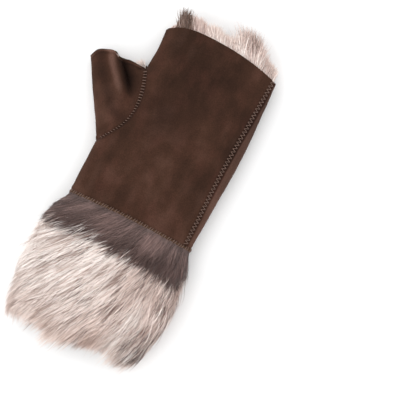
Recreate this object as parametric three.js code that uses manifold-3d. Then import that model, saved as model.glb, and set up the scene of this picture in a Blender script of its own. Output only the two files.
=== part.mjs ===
// A fingerless sheepskin mitten for the left hand, lying palm up, in millimetres with +Z up. +Y runs
// from the cuff to the fingers, the thumb is on the -X side, and the table is at Z = 0. A suede hand
// panel is wrapped round and sewn near the right edge, a thumb piece is set into it, and a cuff of long
// fur hangs from the wrist seam. The pile of the sheepskin shows at the finger and thumb mouths.
import * as THREE from "three";
import { mergeVertices } from "three/addons/utils/BufferGeometryUtils.js";
import Module from "manifold-3d";

const wasm = await Module();
wasm.setup();

// Driving dimensions of the hand panel
const wristWidth = 113; // laid flat, at the wrist seam
const handLength = 158; // wrist seam to the corners of the finger edge
const handHeight = 32; // table to the palm where it stands tallest
const suede = 2; // thickness of the hide
const seamGap = 0.3; // between two pieces that are sewn edge to edge
const fingerEdgeBow = 9; // how far the finger edge arches past its corners
const wristSeamBow = 2; // how far the wrist seam arches towards the fingers
const sideSeamWidth = 2.6; // groove of the seam beside the right edge
const sideSeamDepth = 1.1;
const sideSeamPlace = 0.95; // along the finger edge, as a share from the thumb side
const sideSeamOpening = 0.3; // the groove's cutter stands this far above the palm

// Driving dimensions of the thumb piece
const thumbStart = 48; // wrist seam to where the thumb leaves the side
const crotchLength = 120; // wrist seam to the crotch
const thumbLength = 71; // along its outer edge
const thumbLean = 31; // degrees away from the hand's length
const thumbEdgeBow = 10; // how far the thumb's mouth arches out
const thumbBackEdge = 2.5; // how far its lower layer reaches past the upper one
const thumbSeamBulge = 12.5; // how far the thumb seam curves into the palm
const thumbSeamSlant = 0.3; // the seam moves this much outwards for each mm it goes down
const thumbFoldDepth = 11; // valley between the thumb and the crotch
const thumbFoldWidth = 5.2;

// Driving dimensions of the cuff
const cuffLength = 75; // the hide under the fur
const furLength = 116; // wrist seam to the lowest tips
const hairLength = 42;
const lockWidth = 13;
const lockHeight = 3.2;
const lengthVariation = 0.12; // of a lock, as a share of hairLength
const lengthStep = 7; // radians of the lengths' wave from one lock to the next

// Driving dimensions of the pile that shows at the mouths
const pile = 4.5; // thickness of the clipped pile
const pileInThumb = 2.7; // thinner there
const fingerPileDepth = 26; // how far it is built into the finger mouth
const thumbPileDepth = 13;
const pileSetBack = 1.2; // from the cut edge of the hide to the pile's own rim
const fringeLength = 21; // a lock at the finger mouth, root to tip
const fringeWidth = 9;
const fringeHeight = 2;
const fringeSink = 0.45; // of a lock's height is sunk in the pile

const halfWrist = wristWidth / 2;
const colours = { suede: "#412d23", suedeInside: "#4a3429", fur: "#d8c8c0", pile: "#d7c1b3" };

// Sections of the hand. along is a share of handLength, left and right of halfWrist, low and high of
// handHeight. A low value under 0 is pressed flat on the table.
const handSections = [
  { along: 0, left: 1, right: 1, low: 0.16, high: 0.9 },
  { along: 0.1, left: 1, right: 1.02, low: 0.05, high: 0.95 },
  { along: 0.24, left: 1, right: 1.045, low: -0.06, high: 1 },
  { along: 0.48, left: 0.97, right: 1.07, low: -0.06, high: 1 },
  { along: 0.66, left: 0.86, right: 1.07, low: -0.06, high: 0.98 },
  { along: 0.76, left: 0.815, right: 1.062, low: -0.06, high: 0.96 },
  { along: 0.88, left: 0.79, right: 1.05, low: -0.06, high: 0.92 },
  { along: 1, left: 0.81, right: 1.033, low: -0.05, high: 0.88 },
];

// Sections of the thumb, fanned round the crotch. along is a share of thumbLength on the outer edge,
// inward is the inner end's distance from the crotch as a share of halfWrist, down the same as a share
// of crotchLength, and low and high are shares of handHeight.
const thumbSections = [
  { along: -0.12, inward: 0.5, down: 0.55, low: -0.05, high: 0.82 },
  { along: 0.12, inward: 0.46, down: 0.42, low: -0.05, high: 0.85 },
  { along: 0.36, inward: 0.4, down: 0.28, low: -0.05, high: 0.85 },
  { along: 0.6, inward: 0.34, down: 0.14, low: -0.05, high: 0.82 },
  { along: 0.8, inward: 0.28, down: 0.05, low: -0.05, high: 0.79 },
  { along: 1, inward: 0.22, down: 0, low: -0.04, high: 0.76 },
];

// Arch of the thumb's mouth. along is a share of the way from its outer corner to its inner end, and
// reach of thumbEdgeBow.
const thumbEdge = [
  { along: 0, reach: 0 },
  { along: 0.13, reach: 0.7 },
  { along: 0.34, reach: 1 },
  { along: 0.45, reach: 0.68 },
  { along: 0.6, reach: 0.57 },
  { along: 0.8, reach: 0.3 },
  { along: 1, reach: 0 },
];

// Soft hollows of the palm. x is a share of halfWrist, y and reach of handLength, depth of handHeight.
const dentFalloff = 2; // how fast a hollow fades within its reach
const palmDents = [
  { x: -0.42, y: 0.62, reach: 0.13, depth: 0.05 },
  { x: 0.3, y: 0.34, reach: 0.16, depth: 0.04 },
  { x: 0.1, y: 0.84, reach: 0.14, depth: 0.03 },
  { x: -0.55, y: 0.14, reach: 0.1, depth: 0.045 },
];

// Strip between the side seam and the right edge. along is a share of handLength, strip of halfWrist.
const sideStrip = [
  { along: 0, strip: 0.105 },
  { along: 0.45, strip: 0.17 },
  { along: 0.8, strip: 0.115 },
  { along: 1, strip: 0.06 },
];

// Sections of the fur cuff's outside. along is a share of furLength, wide of halfWrist, low and high of
// handHeight, and pile is the fur's thickness below the end of the hide, as a share of handHeight.
const furSections = [
  { along: 0, wide: 1.015, low: 0.1, high: 0.95, pile: 0.2 },
  { along: 0.1, wide: 1.09, low: -0.02, high: 1.14, pile: 0.3 },
  { along: 0.27, wide: 1.17, low: -0.12, high: 1.32, pile: 0.34 },
  { along: 0.44, wide: 1.2, low: -0.14, high: 1.36, pile: 0.34 },
  { along: 0.62, wide: 1.18, low: -0.12, high: 1.3, pile: 0.3 },
  { along: 0.74, wide: 1.12, low: -0.07, high: 1.16, pile: 0.22 },
  { along: 0.84, wide: 1.05, low: -0.02, high: 1.02, pile: 0.14 },
];

// Way the fur is combed on the palm side. across is a share of halfWrist, lean is degrees towards the
// thumb side.
const combing = [
  { along: -1.3, lean: 30 },
  { along: -0.5, lean: 26 },
  { along: 0.4, lean: 17 },
  { along: 1.3, lean: 2 },
];

// Rows of locks on the cuff. along is a share of furLength, locks the number round the cuff, and turn
// the row's shift as a share of one lock.
const lockRows = [
  { along: 0.09, locks: 14, turn: 0 },
  { along: 0.27, locks: 15, turn: 0.5 },
  { along: 0.46, locks: 16, turn: 0.1 },
  { along: 0.64, locks: 19, turn: 0.6 },
];

// Locks at the finger mouth. along is a share of the way round from the right edge over the palm, and
// reach is how much of fringeLength stands past the cut edge.
const fringeReach = [
  { along: 0, reach: 0.42 },
  { along: 0.16, reach: 0.66 },
  { along: 0.3, reach: 0.5 },
  { along: 0.4, reach: 0.55 },
  { along: 0.46, reach: 0.74 },
  { along: 0.52, reach: 0.4 },
  { along: 0.75, reach: 0.36 },
  { along: 1, reach: 0.42 },
];

// Value of one column of a table at a place along it, on a smooth curve through the rows.
function follow(rows, column, at) {
  const last = rows.length - 1;
  const slope = (row) => {
    const before = rows[Math.max(row - 1, 0)];
    const after = rows[Math.min(row + 1, last)];
    return (after[column] - before[column]) / (after.along - before.along);
  };
  let row = 0;
  while (row < last - 1 && at > rows[row + 1].along) row += 1;
  const from = rows[row];
  const to = rows[row + 1];
  const span = to.along - from.along;
  const s = THREE.MathUtils.clamp((at - from.along) / span, 0, 1);
  const rise = s * s * (3 - 2 * s);
  const bend = span * s * (1 - s) * ((1 - s) * slope(row) - s * slope(row + 1));
  return from[column] + (to[column] - from[column]) * rise + bend;
}

// A pillow-shaped section: nearly flat across, with round folds at both sides. Returns [across, up] for
// an angle.
const flatAcross = 3.2;
const flatUp = 2.3;
function pillow(angle) {
  const across = Math.cos(angle);
  const up = Math.sin(angle);
  return [
    Math.sign(across) * Math.abs(across) ** (2 / flatAcross),
    Math.sign(up) * Math.abs(up) ** (2 / flatUp),
  ];
}

// Angles that divide a pillow section of the given proportions into equal steps along its outline.
function evenAngles(count, wide, tall) {
  const fine = 720;
  const lengths = [0];
  const at = (step) => pillow((step / fine) * 2 * Math.PI);
  for (let step = 1; step <= fine; step += 1) {
    const [a, b] = at(step - 1);
    const [c, d] = at(step);
    lengths.push(lengths[step - 1] + Math.hypot((c - a) * wide, (d - b) * tall));
  }
  const angles = [];
  let step = 0;
  for (let i = 0; i < count; i += 1) {
    const wanted = (i / count) * lengths[fine];
    while (lengths[step + 1] < wanted) step += 1;
    const part = (wanted - lengths[step]) / (lengths[step + 1] - lengths[step]);
    angles.push(((step + part) / fine) * 2 * Math.PI);
  }
  return angles;
}

// Angles of the rings, for the proportions of each section.
const handAngles = evenAngles(40, halfWrist, 0.5 * handHeight);
const thumbAngles = evenAngles(26, 0.5 * halfWrist, 0.42 * handHeight);
const cuffAngles = evenAngles(30, halfWrist, 0.5 * handHeight);

// Depth of the palm's hollows and of the thumb's fold at a point seen from above.
const foldFrom = new THREE.Vector2(-1.17 * halfWrist, crotchLength);
const foldTo = new THREE.Vector2(-0.77 * halfWrist, crotchLength * 0.75);
function dentDepth(x, y) {
  let depth = 0;
  for (const dent of palmDents) {
    const reach = dent.reach * handLength;
    const away = Math.hypot(x - dent.x * halfWrist, y - dent.y * handLength) / reach;
    depth += dent.depth * handHeight * Math.exp(-away * away * dentFalloff);
  }
  const line = foldTo.clone().sub(foldFrom);
  const rest = new THREE.Vector2(x, y).sub(foldFrom);
  const along = THREE.MathUtils.clamp(rest.dot(line) / line.lengthSq(), 0, 1);
  const away = rest.distanceTo(line.clone().multiplyScalar(along)) / thumbFoldWidth;
  return depth + thumbFoldDepth * (1 - along * along) * Math.exp(-away * away);
}

// Line of the wrist seam, and how the finger edge arches, for a place across the hand.
function wristLine(x) {
  return wristSeamBow * Math.max(0, 1 - (x / halfWrist) ** 2);
}

const archPeak = 0.36; // where the finger edge is highest, as a share of its width from the thumb side
function fingerArch(share) {
  const s = THREE.MathUtils.clamp(share, 0, 1);
  if (s > archPeak) return 1 - ((s - archPeak) / (1 - archPeak)) ** 2;
  return 1 - ((archPeak - s) / archPeak) ** 3;
}

// A point of the hand's surface, a share along it and at an angle round it, inset by a wall.
function handPoint(along, angle, inset) {
  const left = -follow(handSections, "left", along) * halfWrist;
  const right = follow(handSections, "right", along) * halfWrist;
  const low = follow(handSections, "low", along) * handHeight;
  const high = follow(handSections, "high", along) * handHeight;
  const [across, up] = pillow(angle);
  const x = (left + right) / 2 + across * ((right - left) / 2 - inset);
  const arch = fingerEdgeBow * along * Math.abs(along) * fingerArch((x - left) / (right - left));
  const y = along * handLength + arch + (1 - along) * wristLine(x);
  const z = (low + high) / 2 + up * ((high - low) / 2 - inset);
  return new THREE.Vector3(x, y, Math.max(z - Math.max(up, 0) * dentDepth(x, y), inset));
}

// Height of the palm side over a point, a share along the hand and at x.
function palmHeight(along, x) {
  const left = -follow(handSections, "left", along) * halfWrist;
  const right = follow(handSections, "right", along) * halfWrist;
  const low = follow(handSections, "low", along) * handHeight;
  const high = follow(handSections, "high", along) * handHeight;
  const across = Math.abs(x - (left + right) / 2) / ((right - left) / 2);
  const up = Math.max(1 - across ** flatAcross, 0) ** (1 / flatUp);
  return (low + high) / 2 + (up * (high - low)) / 2 - up * dentDepth(x, along * handLength);
}

const crotchShare = crotchLength / handLength;
const crotch = new THREE.Vector2(-follow(handSections, "left", crotchShare) * halfWrist, crotchLength);
const leanAngle = THREE.MathUtils.degToRad(thumbLean);
const thumbWay = new THREE.Vector2(-Math.sin(leanAngle), Math.cos(leanAngle));

// A point of the thumb's surface, a share along its outer edge and at an angle round it, inset by a wall.
// Past the mouth the thumb goes straight on.
function thumbPoint(along, angle, inset) {
  const inner = new THREE.Vector2(
    crotch.x + follow(thumbSections, "inward", along) * halfWrist,
    crotch.y - follow(thumbSections, "down", along) * crotchLength,
  );
  const outer = new THREE.Vector2(-halfWrist, thumbStart).addScaledVector(thumbWay, along * thumbLength);
  if (along > 1) inner.addScaledVector(thumbWay, (along - 1) * thumbLength);
  const low = follow(thumbSections, "low", along) * handHeight;
  const high = follow(thumbSections, "high", along) * handHeight;
  const [across, up] = pillow(angle);
  const middle = inner.clone().add(outer).multiplyScalar(0.5);
  const side = inner.clone().sub(outer).multiplyScalar(0.5);
  const place = middle.addScaledVector(side, across * (1 - inset / side.length()));
  const fromOuter = (1 + across) / 2;
  const grown = Math.max(along, 0) ** 3;
  const arch = thumbEdgeBow * grown * follow(thumbEdge, "reach", fromOuter);
  place.addScaledVector(thumbWay, arch + (grown * thumbBackEdge * (1 - up)) / 2);
  const z = (low + high) / 2 + up * ((high - low) / 2 - inset);
  const dent = Math.max(up, 0) * dentDepth(place.x, place.y);
  return new THREE.Vector3(place.x, place.y, Math.max(z - dent, inset));
}

// A point of the cuff's hide, a share along cuffLength from the wrist seam.
const cuffFlare = 0.03; // how much wider the hide is at its end, as a share of halfWrist
const cuffRise = 0.03; // how much higher, as a share of handHeight
function cuffPoint(along, angle, inset) {
  const wide = halfWrist * (1 + cuffFlare * along);
  const low = (handSections[0].low + cuffRise * along) * handHeight;
  const high = (handSections[0].high + cuffRise * along) * handHeight;
  const [across, up] = pillow(angle);
  const x = across * (wide - inset);
  const y = (1 - along) * wristLine(x) - along * cuffLength;
  return new THREE.Vector3(x, y, (low + high) / 2 + up * ((high - low) / 2 - inset));
}

// A point of the fur's outside, a share along furLength, or of its inside below the hide's end.
function furPoint(along, angle, inset) {
  const wide = follow(furSections, "wide", along) * halfWrist;
  const low = follow(furSections, "low", along) * handHeight;
  const high = follow(furSections, "high", along) * handHeight;
  const [across, up] = pillow(angle);
  const x = across * (wide - inset);
  const y = (1 - along) * wristLine(x) - along * furLength - seamGap;
  return new THREE.Vector3(x, y, (low + high) / 2 + up * ((high - low) / 2 - inset));
}

// Rings of points for a surface function, at the given shares along it.
function rings(point, angles, shares, inset) {
  return shares.map((along) => angles.map((angle) => point(along, angle, inset)));
}

function evenShares(from, to, count) {
  return Array.from({ length: count }, (_, i) => from + ((to - from) * i) / (count - 1));
}

// Geometry from points and triangles, as a solid.
function solidFrom(points, faces) {
  const positions = new Float32Array(points.flatMap((p) => [p.x, p.y, p.z]));
  const geometry = new THREE.BufferGeometry();
  geometry.setAttribute("position", new THREE.BufferAttribute(positions, 3));
  geometry.setIndex(faces.flat());
  return solidOf(geometry);
}

function solidOf(geometry) {
  const bare = geometry.clone();
  bare.deleteAttribute("normal");
  bare.deleteAttribute("uv");
  const merged = mergeVertices(bare, 1e-4);
  return new wasm.Manifold(
    new wasm.Mesh({
      numProp: 3,
      vertProperties: merged.attributes.position.array,
      triVerts: new Uint32Array(merged.index.array),
    }),
  );
}

// A solid's outer skin, from its lowest point along Y. A pocket sealed between two locks is left out,
// and so fills.
function outerSkin(solid) {
  const { vertProperties, triVerts } = solid.getMesh();
  const count = vertProperties.length / 3;
  const pointAt = (index) => new THREE.Vector3().fromArray(vertProperties, 3 * index);
  const points = Array.from({ length: count }, (_, i) => pointAt(i));
  const leader = points.map((_, i) => i);
  const leaderOf = (i) => {
    let top = i;
    while (leader[top] !== top) top = leader[top];
    leader[i] = top;
    return top;
  };
  const faces = [];
  for (let i = 0; i < triVerts.length; i += 3) {
    const face = [triVerts[i], triVerts[i + 1], triVerts[i + 2]];
    leader[leaderOf(face[1])] = leaderOf(face[0]);
    leader[leaderOf(face[2])] = leaderOf(face[0]);
    faces.push(face);
  }
  const lowest = points.reduce((best, p, i) => (p.y < points[best].y ? i : best), 0);
  return solidFrom(points, faces.filter((face) => leaderOf(face[0]) === leaderOf(lowest)));
}

function geometryOf(solid) {
  const mesh = solid.getMesh();
  const geometry = new THREE.BufferGeometry();
  geometry.setAttribute("position", new THREE.BufferAttribute(mesh.vertProperties, 3));
  geometry.setIndex(new THREE.BufferAttribute(mesh.triVerts, 1));
  const flat = geometry.toNonIndexed();
  flat.computeVertexNormals();
  return flat;
}

// Faces between neighbouring rings of equal length.
function ringFaces(ringCount, perRing, closed) {
  const faces = [];
  const spans = closed ? ringCount : ringCount - 1;
  for (let i = 0; i < spans; i += 1) {
    const next = (i + 1) % ringCount;
    for (let j = 0; j < perRing; j += 1) {
      const k = (j + 1) % perRing;
      const corners = [i * perRing + j, i * perRing + k, next * perRing + k, next * perRing + j];
      faces.push([corners[0], corners[2], corners[1]], [corners[0], corners[3], corners[2]]);
    }
  }
  return faces;
}

// A closed solid through rings that go along +Y, with a fan over each end.
function loft(ringList) {
  const perRing = ringList[0].length;
  const points = ringList.flat();
  const faces = ringFaces(ringList.length, perRing, false);
  const lastStart = (ringList.length - 1) * perRing;
  const middleOf = (ring) =>
    ring.reduce((sum, p) => sum.add(p), new THREE.Vector3()).multiplyScalar(1 / perRing);
  const first = points.length;
  points.push(middleOf(ringList[0]), middleOf(ringList[ringList.length - 1]));
  for (let j = 0; j < perRing; j += 1) {
    const k = (j + 1) % perRing;
    faces.push([first, j, k], [first + 1, lastStart + k, lastStart + j]);
  }
  return solidFrom(points, faces);
}

// A sleeve with a hollow through it: outside rings along +Y, then the inside rings back again.
function sleeve(outside, inside) {
  const ringList = [...outside, ...inside.slice().reverse()];
  return solidFrom(ringList.flat(), ringFaces(ringList.length, ringList[0].length, true));
}

// Plan of the thumb side of the thumb seam, grown by a gap and extruded upwards. A slant moves it outwards
// towards the table.
const seamTop = 0.85 * handHeight;
function thumbSide(grow, slant) {
  const start = new THREE.Vector2(-halfWrist, thumbStart - grow);
  const end = new THREE.Vector2(crotch.x + grow, crotchLength);
  const outwards = new THREE.Vector2(end.y - start.y, start.x - end.x).normalize();
  const control = start.clone().add(end).multiplyScalar(0.5);
  control.addScaledVector(outwards, 2 * (thumbSeamBulge + grow));
  const farLeft = -3 * halfWrist;
  const farUp = 2 * handLength;
  const plan = new THREE.Shape();
  plan.moveTo(farLeft, start.y);
  plan.lineTo(start.x, start.y);
  plan.quadraticCurveTo(control.x, control.y, end.x, end.y);
  plan.lineTo(end.x, farUp);
  plan.lineTo(farLeft, farUp);
  plan.closePath();
  const depth = 3 * handHeight;
  const block = new THREE.ExtrudeGeometry(plan, { depth, bevelEnabled: false, curveSegments: 16, steps: 1 });
  block.translate(0, 0, -depth / 3);
  const spots = block.attributes.position;
  for (let i = 0; i < spots.count; i += 1) {
    spots.setX(i, spots.getX(i) - slant * (seamTop - spots.getZ(i)));
  }
  return solidOf(block);
}

// The shell of hand and thumb in one, before the thumb seam divides it.
function shell() {
  const handShares = evenShares(0, 1, 16);
  const hollowShares = [-0.03, ...handShares, 1.05];
  const thumbShares = evenShares(-0.12, 1, 9);
  const body = loft(rings(handPoint, handAngles, handShares, 0));
  const thumb = loft(rings(thumbPoint, thumbAngles, thumbShares, 0));
  const bodyHollow = loft(rings(handPoint, handAngles, hollowShares, suede));
  const thumbHollow = loft(rings(thumbPoint, thumbAngles, [...thumbShares, 1.25], suede));
  return body.add(thumb).subtract(bodyHollow).subtract(thumbHollow.intersect(thumbSide(0, 0)));
}

// The groove of the side seam: a wedge along the seam, from the wrist to the finger edge.
function sideSeamGroove() {
  const shares = evenShares(-0.02, 1.06, 13);
  const wedge = shares.map((along) => {
    const within = THREE.MathUtils.clamp(along, 0, 1);
    const strip = follow(sideStrip, "strip", within) * halfWrist;
    const x = follow(handSections, "right", within) * halfWrist - strip;
    const height = (side) => palmHeight(within, x + side);
    const y = along * handLength + fingerEdgeBow * along * Math.abs(along) * fingerArch(sideSeamPlace);
    return [
      new THREE.Vector3(x, y, height(0) - sideSeamDepth),
      new THREE.Vector3(x + sideSeamWidth / 2, y, height(sideSeamWidth / 2) + sideSeamOpening),
      new THREE.Vector3(x - sideSeamWidth / 2, y, height(-sideSeamWidth / 2) + sideSeamOpening),
    ];
  });
  return loft(wedge);
}

// One lock of fur: a tapered three-sided wedge along stations, each with a middle and its side and
// outward ways.
function lock(stations) {
  const points = [];
  for (const { middle, side, out, width, height, sink } of stations) {
    const base = middle.clone().addScaledVector(out, -sink);
    points.push(
      base.clone().addScaledVector(side, width / 2),
      middle.clone().addScaledVector(out, height),
      base.clone().addScaledVector(side, -width / 2),
    );
  }
  const faces = ringFaces(stations.length, 3, false);
  const end = points.length - 3;
  faces.push([0, 1, 2], [end, end + 2, end + 1]);
  return solidFrom(points, faces);
}

// Surface frame of a point function: the place, and unit directions along the angle, along the share,
// and outwards.
function surfaceFrame(point, along, angle) {
  const step = 1e-3;
  const place = point(along, angle, 0);
  const round = point(along, angle + step, 0).sub(point(along, angle - step, 0)).divideScalar(2 * step);
  const down = point(along + step, angle, 0).sub(point(along - step, angle, 0)).divideScalar(2 * step);
  const out = down.clone().cross(round).normalize();
  return { place, round, down, out };
}

// A lock on the cuff. at is a share of its length, width of lockWidth, and the rest of lockHeight: lift
// is how high its middle is over the pile, and sink how far its base is below its middle, so that it
// stays rooted.
const lockShape = [
  { at: 0, width: 0.75, height: 0.2, lift: -0.25, sink: 0.3 },
  { at: 0.3, width: 1, height: 1, lift: 0.12, sink: 0.4 },
  { at: 0.68, width: 0.72, height: 0.95, lift: 0.28, sink: 0.55 },
  { at: 1, width: 0.06, height: 0.1, lift: 0.3, sink: 0.4 },
];

// It lies combed down from its root and a little towards the thumb side. length is its reach along the
// cuff, so a lock that leans more is longer.
function cuffLock(along, angle, length) {
  const stations = [];
  let where = { along, angle };
  let walked = 0;
  for (const row of lockShape) {
    const here = surfaceFrame(furPoint, where.along, where.angle);
    const across = here.place.x / halfWrist;
    const lean = THREE.MathUtils.degToRad(follow(combing, "lean", across));
    const comb = new THREE.Vector3(-Math.tan(lean), -1, 0);
    const stepLength = row.at * length - walked;
    where = {
      along: where.along + (stepLength * comb.dot(here.down)) / here.down.lengthSq(),
      angle: where.angle + (stepLength * comb.dot(here.round)) / here.round.lengthSq(),
    };
    walked = row.at * length;
    const spot = surfaceFrame(furPoint, where.along, where.angle);
    stations.push({
      middle: spot.place.clone().addScaledVector(spot.out, row.lift * lockHeight),
      side: comb.clone().cross(spot.out).normalize(),
      out: spot.out,
      width: row.width * lockWidth,
      height: row.height * lockHeight,
      sink: row.sink * lockHeight,
    });
  }
  return lock(stations);
}

// Everything above the table: what is pressed flat is cut here.
function aboveTable() {
  const size = 4 * (handLength + furLength);
  const block = new THREE.BoxGeometry(size, size, size);
  block.translate(0, 0, size / 2);
  return solidOf(block);
}

// The fur cuff: a sleeve of pile round the hide, with locks combed down over it.
function cuffFur() {
  const endShare = furSections[furSections.length - 1].along;
  const hideShare = cuffLength / furLength;
  const outsideShares = [0, 0.05, 0.12, 0.22, 0.34, 0.48, 0.62, 0.74, endShare];
  const outside = rings(furPoint, cuffAngles, outsideShares, 0);
  const overHide = rings(cuffPoint, cuffAngles, [0, 0.5, 1.01], -seamGap);
  overHide[0].forEach((p) => p.setY(p.y - seamGap));
  const belowHide = [0.5 * (hideShare + endShare), endShare].map((along) =>
    cuffAngles.map((angle) => furPoint(along, angle, follow(furSections, "pile", along) * handHeight)),
  );
  const pieces = [sleeve(outside.reverse(), [...overHide, ...belowHide].reverse())];
  for (const row of lockRows) {
    for (let i = 0; i < row.locks; i += 1) {
      const share = (i + row.turn) / row.locks;
      const angle = angleAt(cuffAngles, share);
      const length = hairLength * (1 + lengthVariation * Math.sin(lengthStep * (i + row.along)));
      pieces.push(cuffLock(row.along, angle, length));
    }
  }
  return outerSkin(pieces.reduce((all, piece) => all.add(piece)).intersect(aboveTable()));
}

// Angle at a share of the way round a section that the given angles divide evenly.
function angleAt(angles, share) {
  const place = (((share % 1) + 1) % 1) * angles.length;
  const i = Math.floor(place);
  const next = i + 1 < angles.length ? angles[i + 1] : 2 * Math.PI;
  return angles[i] + (next - angles[i]) * (place - i);
}

function cuffHide() {
  const shares = evenShares(0, 1, 4);
  const outside = rings(cuffPoint, cuffAngles, shares, 0);
  const inside = rings(cuffPoint, cuffAngles, shares, suede);
  for (const ring of [outside[0], inside[0]]) ring.forEach((p) => p.setY(p.y - seamGap));
  return sleeve(outside.reverse(), inside.reverse());
}

// The pile inside the finger mouth, with locks that stand past the cut edge.
function fingerPile() {
  const skin = suede + seamGap;
  const rim = 1 - pileSetBack / handLength;
  const shares = evenShares(1 - fingerPileDepth / handLength, rim, 4);
  const outside = rings(handPoint, cuffAngles, shares, skin);
  const inside = rings(handPoint, cuffAngles, shares, skin + pile);
  const pieces = [sleeve(outside, inside)];
  const lockCount = 26;
  for (let i = 0; i < lockCount; i += 1) {
    const share = (i + 0.3) / lockCount;
    const angle = angleAt(cuffAngles, share);
    const reach = follow(fringeReach, "reach", share) * fringeLength;
    pieces.push(fringeLock(angle, reach));
  }
  return pieces.reduce((all, piece) => all.add(piece));
}

// A lock at the finger mouth, from inside the pile to past the edge, leaning a little outwards once it
// is free.
function fringeLock(angle, reach) {
  const inset = suede + seamGap + pile * 0.5;
  const point = (along, turn) => handPoint(along, turn, inset);
  const share = (distance) => 1 + distance / handLength;
  const step = 1e-3;
  const shape = [
    { at: reach - fringeLength, width: 0.8, height: 0.6, spread: 0 },
    { at: -pileSetBack, width: 1, height: 0.8, spread: 0 },
    { at: 0.5 * reach, width: 0.7, height: 0.8, spread: 0.08 },
    { at: reach, width: 0.06, height: 0.1, spread: 0.2 },
  ];
  const stations = shape.map(({ at, width, height, spread }) => {
    const round = point(share(at), angle + step).sub(point(share(at), angle - step)).normalize();
    const out = new THREE.Vector3(-round.z, 0, round.x).multiplyScalar(-1).normalize();
    return {
      middle: point(share(at), angle).addScaledVector(out, spread * reach),
      side: round.clone().negate(),
      out,
      width: width * fringeWidth,
      height: height * fringeHeight,
      sink: fringeSink * height * fringeHeight,
    };
  });
  return lock(stations);
}

// The pile inside the thumb's mouth.
function thumbPile() {
  const skin = suede + seamGap;
  const rim = 1 - pileSetBack / thumbLength;
  const shares = evenShares(1 - thumbPileDepth / thumbLength, rim, 3);
  const outside = rings(thumbPoint, thumbAngles, shares, skin);
  const inside = rings(thumbPoint, thumbAngles, shares, skin + pileInThumb);
  return sleeve(outside, inside).intersect(thumbSide(-2 * seamGap, 0));
}

function piece(name, solid, color, roughness) {
  const material = new THREE.MeshStandardMaterial({ color, roughness, metalness: 0 });
  const mesh = new THREE.Mesh(geometryOf(solid), material);
  mesh.name = name;
  return mesh;
}

const mitten = new THREE.Group();
const wholeShell = shell();
const handPanel = wholeShell.subtract(thumbSide(seamGap, thumbSeamSlant)).subtract(sideSeamGroove());
const thumbPiece = wholeShell.intersect(thumbSide(0, thumbSeamSlant));
mitten.add(
  piece("hand_panel", handPanel, colours.suede, 0.95),
  piece("thumb_piece", thumbPiece, colours.suede, 0.95),
  piece("finger_pile", fingerPile(), colours.pile, 0.9),
  piece("thumb_pile", thumbPile(), colours.pile, 0.9),
  piece("cuff_hide", cuffHide(), colours.suedeInside, 0.95),
  piece("cuff_fur", cuffFur(), colours.fur, 0.8),
);

// The origin is under the middle of the mitten, on the table.
const bounds = new THREE.Box3().setFromObject(mitten);
const middle = bounds.getCenter(new THREE.Vector3());
mitten.position.set(-middle.x, -middle.y, -bounds.min.z);

export default mitten;
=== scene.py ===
# Fingerless sheepskin mitten for the left hand, lying palm up on a white table.
# Lengths are in millimetres in the mitten's own frame, +Y from the cuff to the fingers, until a mesh is made.
import math
import bmesh
import bpy
import numpy as np
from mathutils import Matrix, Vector, noise
from mathutils.bvhtree import BVHTree


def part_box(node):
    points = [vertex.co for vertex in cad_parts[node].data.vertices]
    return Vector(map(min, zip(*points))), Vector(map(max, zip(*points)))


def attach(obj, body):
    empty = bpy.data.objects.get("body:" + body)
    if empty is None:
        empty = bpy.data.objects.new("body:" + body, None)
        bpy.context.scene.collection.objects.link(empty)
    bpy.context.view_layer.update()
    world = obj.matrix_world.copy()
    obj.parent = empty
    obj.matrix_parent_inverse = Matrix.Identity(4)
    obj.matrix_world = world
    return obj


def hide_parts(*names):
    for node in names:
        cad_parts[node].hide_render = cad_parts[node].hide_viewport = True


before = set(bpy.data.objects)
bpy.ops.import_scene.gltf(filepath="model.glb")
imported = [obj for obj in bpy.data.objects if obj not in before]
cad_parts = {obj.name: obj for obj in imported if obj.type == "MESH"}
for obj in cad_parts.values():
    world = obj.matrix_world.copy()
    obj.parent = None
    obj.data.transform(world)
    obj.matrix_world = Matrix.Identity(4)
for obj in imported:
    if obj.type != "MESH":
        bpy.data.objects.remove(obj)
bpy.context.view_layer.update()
print("frame loaded")

# Sizes of the whole mitten
mitten = {
    "wristWidth": 113,
    "handLength": 158,
    "handHeight": 32,
    "hide": 2.0,  # how thick it is
    "fingerEdgeBow": 9,
    "wristSeamBow": 2,
    "cuffLength": 75,  # of the cuff's hide
    "furLength": 116,  # from the wrist seam to the lowest tips
    "sectionFlat": 3.2,  # how flat a section is across, where 2 is an ellipse
    "sectionRound": 2.3,  # and how full it is at its side folds
}
halfWrist = mitten["wristWidth"] / 2
handLength = mitten["handLength"]
handHeight = mitten["handHeight"]
furLength = mitten["furLength"]

# The wrist seam's middle is the own frame's origin
cuffLow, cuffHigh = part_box("cuff_hide")
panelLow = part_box("hand_panel")[0]
ownOrigin = np.array([(cuffLow.x + cuffHigh.x) / 2, panelLow.y, 0.0]) * 1000


def smoothCurve(*rows):
    # cubic through (place, value) rows, with slopes from the neighbours
    places = np.array([r[0] for r in rows], float)
    values = np.array([r[1] for r in rows], float)
    before = np.maximum(np.arange(len(rows)) - 1, 0)
    after = np.minimum(np.arange(len(rows)) + 1, len(rows) - 1)
    slopes = (values[after] - values[before]) / (places[after] - places[before])

    def at(where):
        where = np.asarray(where, float)
        k = np.clip(np.searchsorted(places, where) - 1, 0, len(rows) - 2)
        span = places[k + 1] - places[k]
        s = np.clip((where - places[k]) / span, 0, 1)
        bend = span * s * (1 - s) * ((1 - s) * slopes[k] - s * slopes[k + 1])
        return values[k] + (values[k + 1] - values[k]) * s * s * (3 - 2 * s) + bend

    return at


def fade(low, high, value):
    s = np.clip((value - low) / (high - low), 0, 1)
    return s * s * (3 - 2 * s)


def bell(away):
    # 1 at 0, fading over a distance of about 1 on both sides
    return np.exp(-(away**2))


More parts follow.
